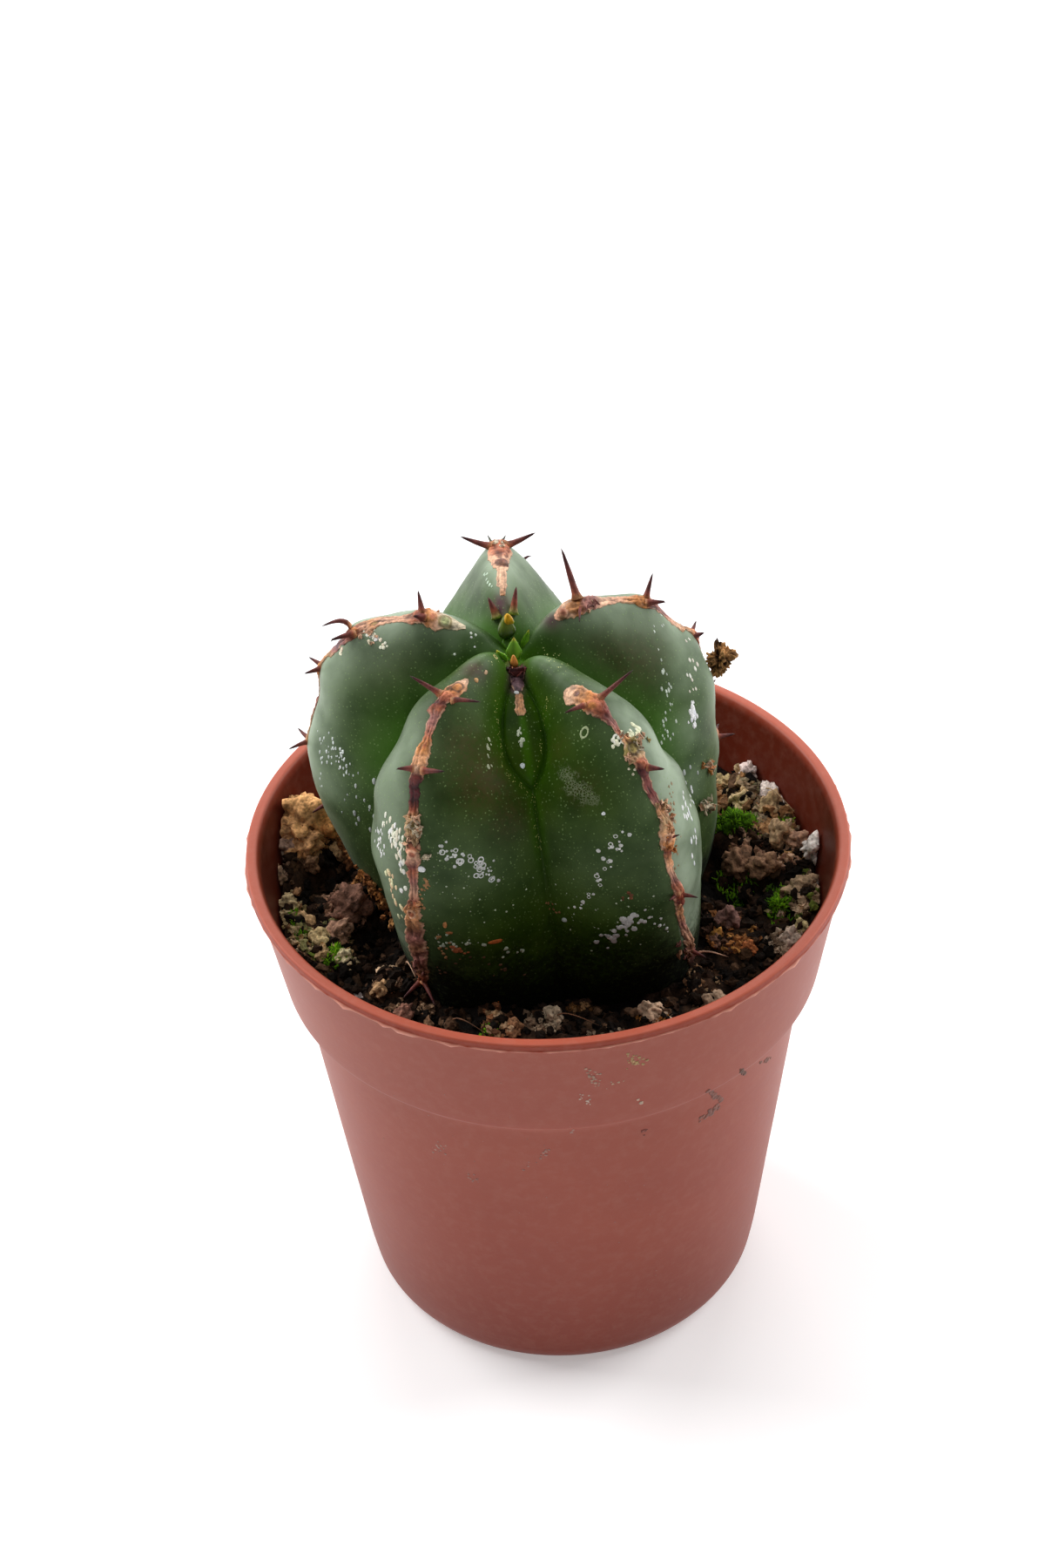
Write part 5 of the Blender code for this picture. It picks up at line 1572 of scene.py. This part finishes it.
soilShape = {
    "height": 42.6,
    "relief": .55,
    "ringStep": .5,
    "share": .75,  # of the crumbs named in the patches
    "sides": 220,
    "stemPolar": 128,  # where the stem goes into the soil
    "rimHeight": 43.5,  # where the soil meets the wall
    "lumpRim": 46,
    "lumpSunk": 0.25,
    "moundPower": 0.6,
    "hollowFall": 1.2,
    "crumbStretch": ((0.8, 1.35), (0.7, 1.0), (0.6, 0.95)),
    "clodSize": 0.55,
    "clodEase": 1.6,  # above 1 there are more small ones
    "hiddenFrom": 6,  # y where the hidden back begins
    "bedTones": ("#0A0604", "#4A3222"),
    "wallHeights": (38.0, 36.4, 20.0, 4.3, 1.45),  # down the side of the bed to its bottom
    "tried": {"dark": 9000, "hidden": 5000},
    "kept": {"dark": 1700, "clods": 2450},
    "darkTones": ("#100A06", "#1C120B", "#2C1C12", "#3E2A1B", "#5A4230", "#140D08", "#20150D"),
    # patches seen in the photograph: x, y, half width, half height, rise in mm, crumbs, sizes, tones
    "patches": (
        (345, 958, 36, 42, 3.4, 300, (.35, 1.15), ("#A5764C", "#B88A60", "#8F6440", "#C09A72", "#7E5B3E")),
        (381, 925, 15, 32, 2.2, 90, (.3, .8), ("#8A5530", "#A06838", "#6E4428", "#B07A50")),
        (318, 1003, 20, 18, 1.8, 80, (.4, 1), ("#A08878", "#BBA08E", "#7A5E4C", "#B08A6C")),
        (293, 975, 8, 16, 2.4, 20, (.5, .9), ("#B39A88", "#A88468")),
        (398, 1040, 26, 26, 1.1, 110, (.35, .95), ("#6E4E3E", "#8A6652", "#583A2C", "#A07A62")),
        (332, 1052, 20, 26, .9, 80, (.35, .95), ("#A5906A", "#C0A880", "#84724C", "#8F6A4C")),
        (368, 1082, 38, 26, .9, 190, (.35, .95), ("#B4926A", "#C8AC88", "#94764E", "#8A8456", "#5E6A2A")),
        (398, 1104, 16, 10, 1.1, 26, (.4, .9), ("#B5A87E", "#9A9060", "#C4AC88")),
        (447, 1128, 26, 18, .9, 70, (.3, .85), ("#A58668", "#BC9E80", "#7E5E46", "#5A4030")),
        (470, 1160, 26, 14, .9, 60, (.3, .85), ("#94745A", "#AE8E70", "#6A4C38")),
        (560, 1146, 46, 12, .8, 90, (.25, .6), ("#9A5A20", "#B06A24", "#6A3A14", "#4A2A12")),
        (572, 1176, 18, 20, 1.2, 60, (.35, .95), ("#A07E5C", "#86583A", "#BC9A78", "#6A4630")),
        (625, 1176, 22, 16, 1.1, 60, (.35, .9), ("#94806A", "#A8937A", "#6E5A48")),
        (668, 1152, 16, 9, .9, 24, (.3, .7), ("#6A4624", "#4A3018", "#806040")),
        (752, 1166, 22, 14, 1, 60, (.35, .9), ("#B8A08A", "#94602E", "#A88A70", "#5E4430")),
        (700, 1186, 34, 8, .8, 30, (.3, .7), ("#7E6C5A", "#5A4636")),
        (806, 1128, 24, 20, .7, 60, (.3, .8), ("#7E5A40", "#9A7454", "#4E3626", "#A88A68")),
        (858, 905, 24, 30, 1.8, 130, (.35, 1), ("#A88C66", "#BCA07A", "#84704E", "#94846A")),
        (884, 940, 42, 30, 1.7, 230, (.35, 1), ("#A0876C", "#B89C7E", "#84705A", "#8A8462")),
        (906, 890, 34, 14, 2.4, 34, (.6, 1.3), ("#C0AEA6", "#CFC0B8", "#B09A90")),
        (941, 968, 15, 17, 1.9, 14, (.7, 1.3), ("#C4B4AC", "#D2C5BE", "#B8A298")),
        (953, 1010, 5, 11, 1.5, 6, (.5, .9), ("#C8B6AE", "#B5A096")),
        (882, 986, 44, 18, 1.3, 150, (.35, 1), ("#94705A", "#7A5846", "#AC8A70", "#8E6A44")),
        (925, 1030, 22, 24, 1, 80, (.35, .95), ("#A08468", "#B89A7E", "#7E6650", "#66702E")),
        (892, 1036, 15, 24, .6, 40, (.3, .7), ("#4A6A14", "#3A5410", "#8A7A56", "#5E4A38")),
        (842, 1072, 30, 26, 1, 140, (.35, 1), ("#6E4E40", "#8F5C34", "#AC7A42", "#54382A", "#A0683A")),
        (905, 1082, 22, 20, 1, 80, (.35, .95), ("#9C846E", "#B49A84", "#6E5846")),
    ),
    # single lumps: photo x, y, radius in mm, tone
    "lumps": (
        (332, 950, 2.6, "#D09C68"), (322, 930, 1.5, "#C79C6C"), (352, 985, 1.3, "#B08258"),
        (338, 972, 1.5, "#BC8C60"), (325, 975, 1.1, "#B08868"), (312, 950, 1, "#C09468"),
        (368, 968, 1.3, "#B07C4A"), (372, 940, 1.1, "#A0683A"), (324, 938, 1.2, "#C09A70"),
        (324, 988, 1.1, "#8A6E60"), (318, 1007, .75, "#B4A09A"), (330, 1040, .95, "#B8A27C"),
        (348, 1057, .9, "#B8946C"), (389, 1068, 1.1, "#8E6C58"), (368, 1079, .9, "#B8A074"),
        (396, 1103, .85, "#C0B08A"), (402, 1040, 1.5, "#6E4E40"), (440, 1118, .65, "#B89A7C"),
        (436, 1142, .7, "#B08A64"), (411, 1140, .6, "#A89A96"), (465, 1164, 1, "#8A6050"),
        (296, 975, .8, "#C0A898"), (311, 914, .6, "#A89088"), (357, 908, .7, "#B08C78"),
        (877, 882, 1, "#C8B4AE"), (912, 900, 1.2, "#CBBBB3"), (929, 910, .9, "#C8B8AE"),
        (944, 979, 1.15, "#D6CAC4"), (948, 957, .7, "#C0B0AA"), (951, 1013, .6, "#C4B4AC"),
        (831, 890, 1, "#B09A70"), (851, 925, 1, "#C4AA80"), (883, 935, 1.1, "#A88C68"),
        (894, 961, 1.2, "#A88A6A"), (848, 987, 1.5, "#80604A"), (877, 996, 1.3, "#8A6850"),
        (918, 970, .9, "#A07A64"), (924, 1014, 1.2, "#A08468"), (894, 1044, .7, "#B49A80"),
        (922, 1059, .75, "#A8946A"), (907, 1081, .95, "#B09888"), (838, 1057, 1.1, "#6E5048"),
        (822, 1074, .7, "#AC7A3E"), (859, 1089, .75, "#9A5A34"), (818, 1148, .9, "#A88C74"),
        (590, 1176, .9, "#A07252"), (635, 1168, .9, "#A8947C"), (747, 1163, .9, "#B89A80"),
        (490, 1172, .7, "#7E5E46"), (380, 930, .9, "#B88452"), (388, 948, .9, "#A87040"),
        (396, 968, .9, "#8A5834"), (404, 990, .8, "#7E5234"), (412, 1008, .7, "#A06C40"),
        (300, 990, .9, "#B8A090"), (296, 955, .8, "#C0AA98"), (305, 1015, .8, "#9A7C66"),
        (358, 1002, .8, "#7E5E46"),
    ),
    # lumps under the moss, which is thick on them
    "cushions": (
        (838, 955, 1.4, "#3C6006"), (860, 950, 1.1, "#44680A"), (846, 966, 1.1, "#345405"),
        (892, 1040, .8, "#3A5410"), (386, 1098, .6, "#3E5A10"),
    ),
    # crust that clings along the foot of the left rib: x and y from and to, count, tones
    "crust": ((371, 925), (453, 1066), 170, ("#80502C", "#9A6434", "#5E3A20", "#A87848")),
    "crustScatter": 2.5,
    "crustSizes": (0.2, 0.45),
    "crustTop": 47.5,
    "crustLevel": 44.5,  # where a crumb misses the stem
    "crustLowest": 43,
    # hollows in the dark: x, y, half width, half height, depth
    "hollows": (
        (365, 1020, 22, 12, 2), (432, 1082, 28, 30, 2.2), (305, 1030, 12, 18, 1.2), (848, 1026, 34, 16, 2.2),
        (912, 1052, 20, 12, 1.2), (610, 1140, 60, 14, 1.6), (700, 1150, 50, 14, 1.6), (955, 960, 6, 26, 1),
        (305, 905, 16, 14, 1.2),
    ),
    # the large cushion: x, y, half width, half height, rise, shoots and their tones
    "moss": (845, 955, 34, 18, 2.6, 2100, ("#5E8E0A", "#4E7A08", "#6E9C16", "#3E6606")),
    # thinner moss: x, y, half width, half height
    "mossPatches": ((895, 1036, 13, 24), (903, 950, 8, 10), (385, 1100, 16, 8), (845, 1000, 24, 12),
                    (560, 1182, 10, 6), (345, 1060, 12, 14)),
}


def soilPlace(x, y, height):
    # where a photo pixel falls on a level plane
    eye, ray = np.array(cameraSetup["place"]), photoRay(x, y)
    return eye + ray * (height - eye[2]) / ray[2]


def levelOval(x, y, halfWidth, halfHeight, rise):
    height = soilShape["height"] + rise
    middle = soilPlace(x, y, height)
    wide = soilPlace(x + halfWidth, y, height)[0] - middle[0]
    return middle, wide, soilPlace(x, y - halfHeight, height)[1] - middle[1]


soilMounds = [(*levelOval(*patch[:5]), patch[4]) for patch in (*soilShape["patches"], soilShape["moss"])]
soilHollows = [(*levelOval(*hollow[:4], 0), hollow[4]) for hollow in soilShape["hollows"]]


def soilHeight(points):
    x, y = points[:, 0], points[:, 1]
    level = np.column_stack([x, y, 0 * x])
    rough = noiseAt(level, 3.2, 12) + 0.8 * noiseAt(level, 1.1, 13)
    base = soilShape["height"] + soilShape["relief"] * rough
    height = base.copy()
    uneven = 1 + 0.5 * noiseAt(level, 1.6, 15)
    for middle, wide, deep, rise in soilMounds:
        away = (((x - middle[0]) / wide) ** 2 + ((y - middle[1]) / deep) ** 2) * uneven
        height = np.maximum(height, base + rise * np.clip(1 - away, 0, 1) ** soilShape["moundPower"])
    for middle, wide, deep, depth in soilHollows:
        away = ((x - middle[0]) / wide) ** 2 + ((y - middle[1]) / deep) ** 2
        height -= depth * np.exp(-away * soilShape["hollowFall"])
    return height


def keepInside(points):
    reach = np.maximum(np.hypot(points[:, 0], points[:, 1]), 1)
    inside = np.minimum(1, wallRadius(points[:, 2]) / reach)
    return points * np.column_stack([inside, inside, np.ones(len(points))])


def modelSoilBed():
    top = wallRadius(soilShape["height"])
    rings = np.arange(0, top, soilShape["ringStep"])
    outline = [np.array([r, soilShape["height"]]) for r in (*rings, top)]
    outline += [np.array([wallRadius(z), z]) for z in soilShape["wallHeights"]]
    outline.append(np.array([0.0, soilShape["wallHeights"][-1]]))
    bed = turnOnWheel("soilBed", outline, soilShape["sides"])
    points = readPoints(bed)
    upper = points[:, 2] > soilShape["height"] - 0.01
    points[upper, 2] = soilHeight(points[upper])
    points[upper] = keepInside(points[upper])
    movePoints(bed, points)
    shade = noiseAt(points, 1.8, 14, 3) + 0.25 * (points[:, 2] - soilShape["height"])
    dark, brown = [linear(tone) for tone in soilShape["bedTones"]]
    setAttribute(bed, "tint", dark + (brown - dark) * np.clip(0.15 + 0.6 * shade, 0, 1)[:, None])
    return bed


def modelLump(subdivisions, roughness, seed, detail):
    lump = addPrimitive("lump", bpy.ops.mesh.primitive_ico_sphere_add, subdivisions=subdivisions, radius=mm)
    points = readPoints(lump)
    swell = roughness * (noiseAt(points, 0.9, seed) + detail * noiseAt(points, 0.35, seed + 1))
    movePoints(lump, points * (1 + swell)[:, None])
    return takeModel(lump)


def wallAndStem(x, y):
    # how far outside the stem and inside the wall a place on the soil is
    axis = stemPoint(0, 0, soilShape["height"] - stemShape["coreHeight"])[:2]
    azimuth = np.degrees(np.arctan2(y - axis[1], x - axis[0]))
    polar = soilShape["stemPolar"]
    foot = stemSurface(azimuth, polar)[0] * sin(radians(polar))
    return np.hypot(x - axis[0], y - axis[1]) - foot, wallRadius(soilShape["rimHeight"]) - np.hypot(x, y)


def layCrumbs(models, rng, places, sizes, tones, sunk):
    # tones: one colour for each crumb
    ground = soilHeight(np.column_stack([places, 0 * sizes]))
    shades = [(1 + 0.5 * noiseAt(points * 0.6, 0.5, 31))[:, None] for points, _ in models]
    copies = []
    for (x, y), size, tone, height in zip(places, sizes, tones, ground):
        kind = rng.integers(len(models))
        points, faces = models[kind]
        stretch = np.array([rng.uniform(*limits) for limits in soilShape["crumbStretch"]])
        turned = (points * size * stretch) @ randomTurn(rng).T
        placed = keepInside(turned + (x, y, height + size * rng.uniform(*sunk)))
        copies.append((placed, faces, tone * shades[kind]))
    return copies


def someTones(rng, tones, count):
    picked = np.array([linear(tone) for tone in tones])[rng.integers(len(tones), size=count)]
    return picked * rng.uniform(0.7, 1.2, (count, 1))


def sprinkle(rng, count, smallest, spread):
    # places over the whole pot, their sizes, and how far they are from the stem and the wall
    places, sizes = rng.uniform(-25, 25, (count, 2)), rng.uniform(size=count) ** 1.7 * spread + smallest
    return places, sizes, *wallAndStem(*places.T)


def scatterDarkCrumbs():
    rng = np.random.default_rng(12)
    models = [modelLump(2, roughness=0.6, seed=20 + 3 * k, detail=0.5) for k in range(5)]
    tried = sprinkle(rng, soilShape["tried"]["dark"], smallest=0.25, spread=0.5)
    places, sizes, fromStem, fromWall = tried
    free = (fromStem > sizes * 0.2) & (fromWall > sizes * 0.8)
    kept = np.flatnonzero(free)[:soilShape["kept"]["dark"]]
    tones = someTones(rng, soilShape["darkTones"], len(kept))
    return copyModels("crumbs", layCrumbs(models, rng, places[kept], sizes[kept], tones, sunk=(-0.1, 0.5)))


def scatterClods():
    rng = np.random.default_rng(13)
    models = [modelLump(2, roughness=0.7, seed=50 + 3 * k, detail=0.7) for k in range(6)]
    places, sizes, tones = [], [], []
    for (x, y, halfWidth, halfHeight, rise, count, (smallest, largest), colours) in soilShape["patches"]:
        laid = int(count * soilShape["share"])
        for _ in range(laid):
            away, turn = rng.uniform() ** 0.5, rng.uniform(0, 2 * pi)
            raised = rise * (1 - away ** 2) ** soilShape["moundPower"]
            place = soilPlace(x + halfWidth * away * cos(turn), y + halfHeight * away * sin(turn),
                              soilShape["height"] + raised)
            places.append((*place[:2], raised))
            share = rng.uniform() ** soilShape["clodEase"]
            sizes.append(soilShape["clodSize"] * (share * (largest - smallest) + smallest))
        tones.append(someTones(rng, colours, laid))
    places, sizes, tones = np.array(places), np.array(sizes), np.concatenate(tones)
    fromStem, fromWall = wallAndStem(*places[:, :2].T)
    kept = (fromWall > sizes * 0.6 - places[:, 2] * 0.17) & (fromStem > -0.6)
    copies = layCrumbs(models, rng, places[kept, :2], sizes[kept], tones[kept], sunk=(0.0, 0.8))

    first, last, count, colours = soilShape["crust"]
    for _ in range(count):
        x, y = np.array(first) + (np.array(last) - first) * rng.uniform()
        x, y = (x, y) + rng.normal(size=2) * soilShape["crustScatter"]
        place, _ = photoHit(stemHit, x + 3, y)
        if place is None or place[2] > soilShape["crustTop"]:
            place = soilPlace(x, y, soilShape["crustLevel"])
        size = np.array([rng.uniform(*soilShape["crustSizes"])])
        tones = someTones(rng, colours, 1)
        points, faces, tint = layCrumbs(models, rng, place[None, :2], size, tones, sunk=(0, 0))[0]
        rise = max(place[2], soilShape["crustLowest"]) - points[:, 2].mean()
        copies.append((points + (0, 0, rise), faces, tint))

    # the back, which the photograph hides
    tried = sprinkle(rng, soilShape["tried"]["hidden"], smallest=0.3, spread=0.6)
    places, sizes, fromStem, fromWall = tried
    patchy = noiseAt(np.column_stack([places, 0 * sizes]), 4.0, 16) > 0.02
    free = (fromStem > sizes * 0.4) & (fromWall > sizes * 0.9)
    hidden = free & patchy & (places[:, 1] > soilShape["hiddenFrom"])
    kept = np.flatnonzero(hidden)[:max(0, soilShape["kept"]["clods"] - len(copies))]
    tones = someTones(rng, soilShape["patches"][0][7], len(kept))
    copies += layCrumbs(models, rng, places[kept], sizes[kept], tones, sunk=(-0.1, 0.5))
    return copyModels("clods", copies)


def lumpCentre(x, y, radius):
    place = soilPlace(x, y, soilShape["height"] + radius)
    place[:2] *= min(1, (wallRadius(soilShape["lumpRim"]) - radius * 0.3) / np.hypot(*place[:2]))
    return np.array([*place[:2], soilHeight(place[None])[0] + radius * soilShape["lumpSunk"]])


def scatterLumps():
    rng = np.random.default_rng(17)
    models = [modelLump(4, roughness=0.5, seed=80 + 3 * k, detail=0.5) for k in range(6)]
    copies = []
    for x, y, radius, tone in (*soilShape["lumps"], *soilShape["cushions"]):
        points, faces = models[rng.integers(len(models))]
        turned = (points * radius * rng.uniform(0.8, 1.15, 3)) @ randomTurn(rng).T
        # painted shade: darker in the dents and paler on the bulges, with a random mottle
        shade = 1 + 0.7 * noiseAt(points, 0.5, 33) + 0.8 * (np.linalg.norm(points, axis=1) - 1)
        placed = keepInside(turned + lumpCentre(x, y, radius))
        copies.append((placed, faces, linear(tone) * np.clip(shade, 0.2, 2)[:, None]))
    return copyModels("lumps", copies)


mossShape = {
    "shootRadius": 0.17,
    "shootHeights": (0.4, 0.9),
    "cushionShoots": 150,
    "cushionDepth": 0.85,  # share of a cushion's radius where its shoots start
    "leaning": 0.5,
    "bright": (0.7, 1.3),
}


def growMoss():
    # upright shoots half a millimetre high, in cushions
    rng = np.random.default_rng(14)
    blade = addPrimitive("blade", bpy.ops.mesh.primitive_cone_add, vertices=3, end_fill_type="NOTHING",
                         radius1=mossShape["shootRadius"] * mm, depth=mm, location=(0, 0, 0.5 * mm))
    points, faces = takeModel(blade)
    copies = []
    count, tones = soilShape["moss"][5:]
    ovals = [soilShape["moss"][:4]] * 6 + list(soilShape["mossPatches"])
    picked = np.array([ovals[k] for k in rng.integers(len(ovals), size=count * 2)])
    away, turn = rng.uniform(size=len(picked)) ** 0.5, rng.uniform(0, 2 * pi, len(picked))
    spots = picked[:, :2] + picked[:, 2:] * (away * np.array([np.cos(turn), np.sin(turn)])).T
    places = np.array([soilPlace(x, y, soilShape["height"] + 1) for x, y in spots])
    fromStem, fromWall = wallAndStem(*places[:, :2].T)
    places = places[(fromWall > 0.5) & (fromStem > -0.6)][:count]
    roots = [((*place[:2], ground - 0.1), (0, 0, 1.0)) for place, ground in zip(places, soilHeight(places))]
    for x, y, radius, _ in soilShape["cushions"]:
        centre = lumpCentre(x, y, radius)
        for direction in rng.normal(size=(mossShape["cushionShoots"], 3)) + (0, 0, 0.8):
            direction /= np.linalg.norm(direction)
            roots.append((centre + direction * radius * mossShape["cushionDepth"], direction))
    for root, upwards in roots:
        leaning = rng.normal(size=3) * mossShape["leaning"] + upwards
        side, ahead, out = standingFrame(leaning, (0.3, -1, 0.1))
        placed = standUp(points, root, (side, out, ahead), (1, 1, rng.uniform(*mossShape["shootHeights"])))
        tone = linear(tones[rng.integers(len(tones))]) * rng.uniform(*mossShape["bright"])
        copies.append((placed, faces, tone * (0.45 + 0.9 * points[:, 2:])))
    return copyModels("moss", copies)


# Potting mix: peat crumbs, composted bark and dust, so it is rough all over and never shines
soilLook = {
    "roughness": 0.95,
    "grain": (0.35, 4, (0.3, 0.72, 0.7, 1.75)),
    "cells": (0.5, "F1", (0.05, 0.35, 0.55, 1)),
    "bump": (0.8, 0.12),
    "shader": {"Specular IOR Level": 0.2},
}
soilMaterial = makeTintedMaterial("pottingMix", soilLook)
finishPiece(modelSoilBed(), soilMaterial, ["soil"])
finishPiece(scatterLumps(), soilMaterial)
for piece in (scatterDarkCrumbs(), scatterClods()):
    finishPiece(piece, soilMaterial, smooth=False)
finishPiece(growMoss(), soilMaterial)
print("soil laid")


# Crumb of earth caught on the right rib, and dry flakes and fibres

crumbShape = {
    "place": (16.4, 9.3, 62.3),
    "radius": 1.15,
    "squash": (0.85, 0.85, 1.15),
    # height and size of the large and the small lobes, and of the roughness
    "lobes": ((0.9, 0.95), (0.7, 0.45)),
    "pitWidth": 0.12,
    "pitDepth": 0.35,
    "rough": (0.3, 0.2),
    # dark and pale tones, laid as painted shade in the pits and painted highlight on the lumps
    "tones": ("#2A180C", "#B98A58"),
}

litter = {
    # flakes: photo x, y, how many, spread in pixels, lengths, tones
    "flakes": (
        (476, 945, 16, 9, (.45, 1), ("straw", "cream", "chalk")),
        (472, 965, 10, 8, (.4, .8), ("straw", "bark", "cream")),
        (489, 982, 5, 4, (.4, .7), ("chalk", "chalk")), (474, 1036, 8, 8, (.35, .7), ("tan", "bark")),
        (763, 925, 8, 7, (.4, .8), ("cream", "straw")), (766, 945, 10, 8, (.4, .8), ("cream", "tan")),
        (768, 968, 8, 8, (.35, .7), ("cream", "amber")),
        (735, 850, 10, 8, (.4, .8), ("cream", "chalk", "olive")),
        (716, 846, 4, 5, (.35, .6), ("chalk", "straw")), (722, 872, 6, 6, (.3, .6), ("cream", "straw")),
        (778, 1035, 5, 5, (.3, .6), ("tan", "straw")), (677, 691, 6, 7, (.4, .8), ("rose", "cream")),
        (787, 1090, 8, 9, (.4, .9), ("bark", "rose")), (482, 1112, 8, 9, (.4, .9), ("bark", "rose")),
        (428, 732, 8, 8, (.3, .6), ("chalk", "cream")), (503, 703, 3, 5, (.3, .6), ("cream", "tan")),
        (573, 623, 6, 5, (.4, .8), ("chalk", "blush")),
        (814, 880, 12, 6, (.5, 1), ("cream", "chalk", "amber")),
        (810, 925, 14, 6, (.5, 1), ("chalk", "chalk", "cream")),
    ),
    # fibres: photo x and y of both ends, height, radius, rise of the middle, tone
    "fibres": (
        (798, 1096, 838, 1099, 44.6, .11, .5, "blush"), (467, 1104, 478, 1124, 45, .06, .3, "cream"),
        (866, 1140, 905, 1118, 44.2, .07, .6, "bark"), (330, 1090, 368, 1108, 44.2, .06, .5, "bark"),
        (520, 1170, 560, 1188, 44.4, .06, .5, "bark"), (880, 905, 915, 935, 46.4, .06, .5, "straw"),
        (640, 1165, 690, 1178, 44.2, .06, .5, "bark"), (322, 930, 352, 915, 46.2, .06, .5, "straw"),
    ),
    "scatter": 0.6,  # share of the spread
    "lifted": (0.3, 1.6),  # how much a flake stands off the skin
    "slim": 0.8,
    "crumpled": 0.35,
    "sunk": 0.1,
    "bright": (0.7, 1.15),
}


def modelCaughtCrumb():
    crumb = addPrimitive("caughtCrumb", bpy.ops.mesh.primitive_ico_sphere_add, subdivisions=6, radius=mm)
    ball = readPoints(crumb)
    (high, large), (low, small) = crumbShape["lobes"]
    lobes = 1 + high * noiseAt(ball, large, 61, 1) + low * noiseAt(ball, small, 62, 1)
    pits = np.clip(crumbShape["pitWidth"] - abs(noiseAt(ball, 0.42, 63, 1)), 0, 1) / crumbShape["pitWidth"]
    height, size = crumbShape["rough"]
    pores = height * noiseAt(ball, size, 64, 2) - crumbShape["pitDepth"] * pits
    points = ball * (crumbShape["radius"] * (lobes + pores))[:, None] * crumbShape["squash"]
    movePoints(crumb, points + crumbShape["place"])
    # painted shade in the pits and painted highlight on the lumps, with a random mottle
    shade = np.clip(0.5 + 1.1 * pores + 0.9 * noiseAt(ball, 0.5, 65), 0, 1)[:, None]
    dark, pale = [linear(tone) for tone in crumbShape["tones"]]
    setAttribute(crumb, "tint", dark * (1 - shade) + pale * shade)
    return crumb


def scatterLitter():
    rng = np.random.default_rng(15)
    points, faces = modelLeaf()
    copies = []
    for x, y, count, spread, lengths, tones in litter["flakes"]:
        for k in range(count):
            shift = rng.normal(size=2) * spread * litter["scatter"]
            place, normal = photoHit(stemHit, x + shift[0], y + shift[1])
            if place is None:
                continue
            direction = rng.normal(size=3) + normal * rng.uniform(*litter["lifted"])
            side, ahead, out = standingFrame(direction, normal + rng.normal(size=3) * 0.5)
            length = rng.uniform(*lengths)
            crumpled = points + litter["crumpled"] * noiseAt(points + k, 0.5, 71)[:, None] * (0, 0, 1)
            stretch = (litter["slim"] * length, length, length)
            placed = standUp(crumpled, place, (side, ahead, out), stretch)
            tone = tints[tones[rng.integers(len(tones))]] * rng.uniform(*litter["bright"])
            tint = tone * (1 + 0.5 * noiseAt(placed, 0.3, 72))[:, None]
            copies.append((placed - ahead * litter["sunk"], faces, tint))
    for x, y, otherX, otherY, height, radius, rise, tone in litter["fibres"]:
        start, end = soilPlace(x, y, height), soilPlace(otherX, otherY, height)
        copies.append(bendSpine(spineModel, start, end - start, np.array((0, 0, 1.0)), radius, rise, 0.0,
                                (tone, tone, tone)))
    return copyModels("dryLitter", copies)


finishPiece(modelCaughtCrumb(), soilMaterial, ["caught_crumb"])
finishPiece(scatterLitter(), horn)
print("crumb placed")


# Studio: a white table, a softbox on the left and behind, and a weaker one on the right

studio = {
    "floorSize": 6.0,
    # matt white board, a little self-lit so that it stays white
    "boardColour": (0.86, 0.855, 0.86, 1),
    "boardRoughness": 0.8,
    "boardGlow": 0.3,
    "world": 0.2,
    "aim": (0, 0, 0.045),
    # name: place, width, power in watts
    "lights": {
        "key": ((-0.55, 0.28, 0.50), 0.50, 5.4),
        "back": ((0.05, 0.75, 0.42), 0.60, 3.2),
        "right": ((0.60, 0.26, 0.35), 0.42, 4.0),
        "top": ((0.0, 0.0, 0.85), 0.50, 1.5),
    },
}


def buildStudio():
    world = bpy.data.worlds.new("studio")
    bpy.context.scene.world = world
    world.use_nodes = True
    world.node_tree.nodes["Background"].inputs["Color"].default_value = (1, 1, 1, 1)
    world.node_tree.nodes["Background"].inputs["Strength"].default_value = studio["world"]
    floor = addPrimitive("floor", bpy.ops.mesh.primitive_plane_add, size=studio["floorSize"])
    material, _, shader = startMaterial("whiteBoard", studio["boardRoughness"])
    shader.inputs["Base Color"].default_value = studio["boardColour"]
    shader.inputs["Emission Color"].default_value = (1, 1, 1, 1)
    shader.inputs["Emission Strength"].default_value = studio["boardGlow"]
    floor.data.materials.append(material)
    aim = Vector(studio["aim"])
    for name, (place, width, power) in studio["lights"].items():
        data = bpy.data.lights.new(name, "AREA")
        data.size = width
        data.energy = power
        light = bpy.data.objects.new(name, data)
        bpy.context.scene.collection.objects.link(light)
        light.location = place
        light.rotation_euler = (aim - Vector(place)).to_track_quat("-Z", "Y").to_euler()
    bpy.context.scene.view_settings.view_transform = "Standard"


buildStudio()
print("studio lit")
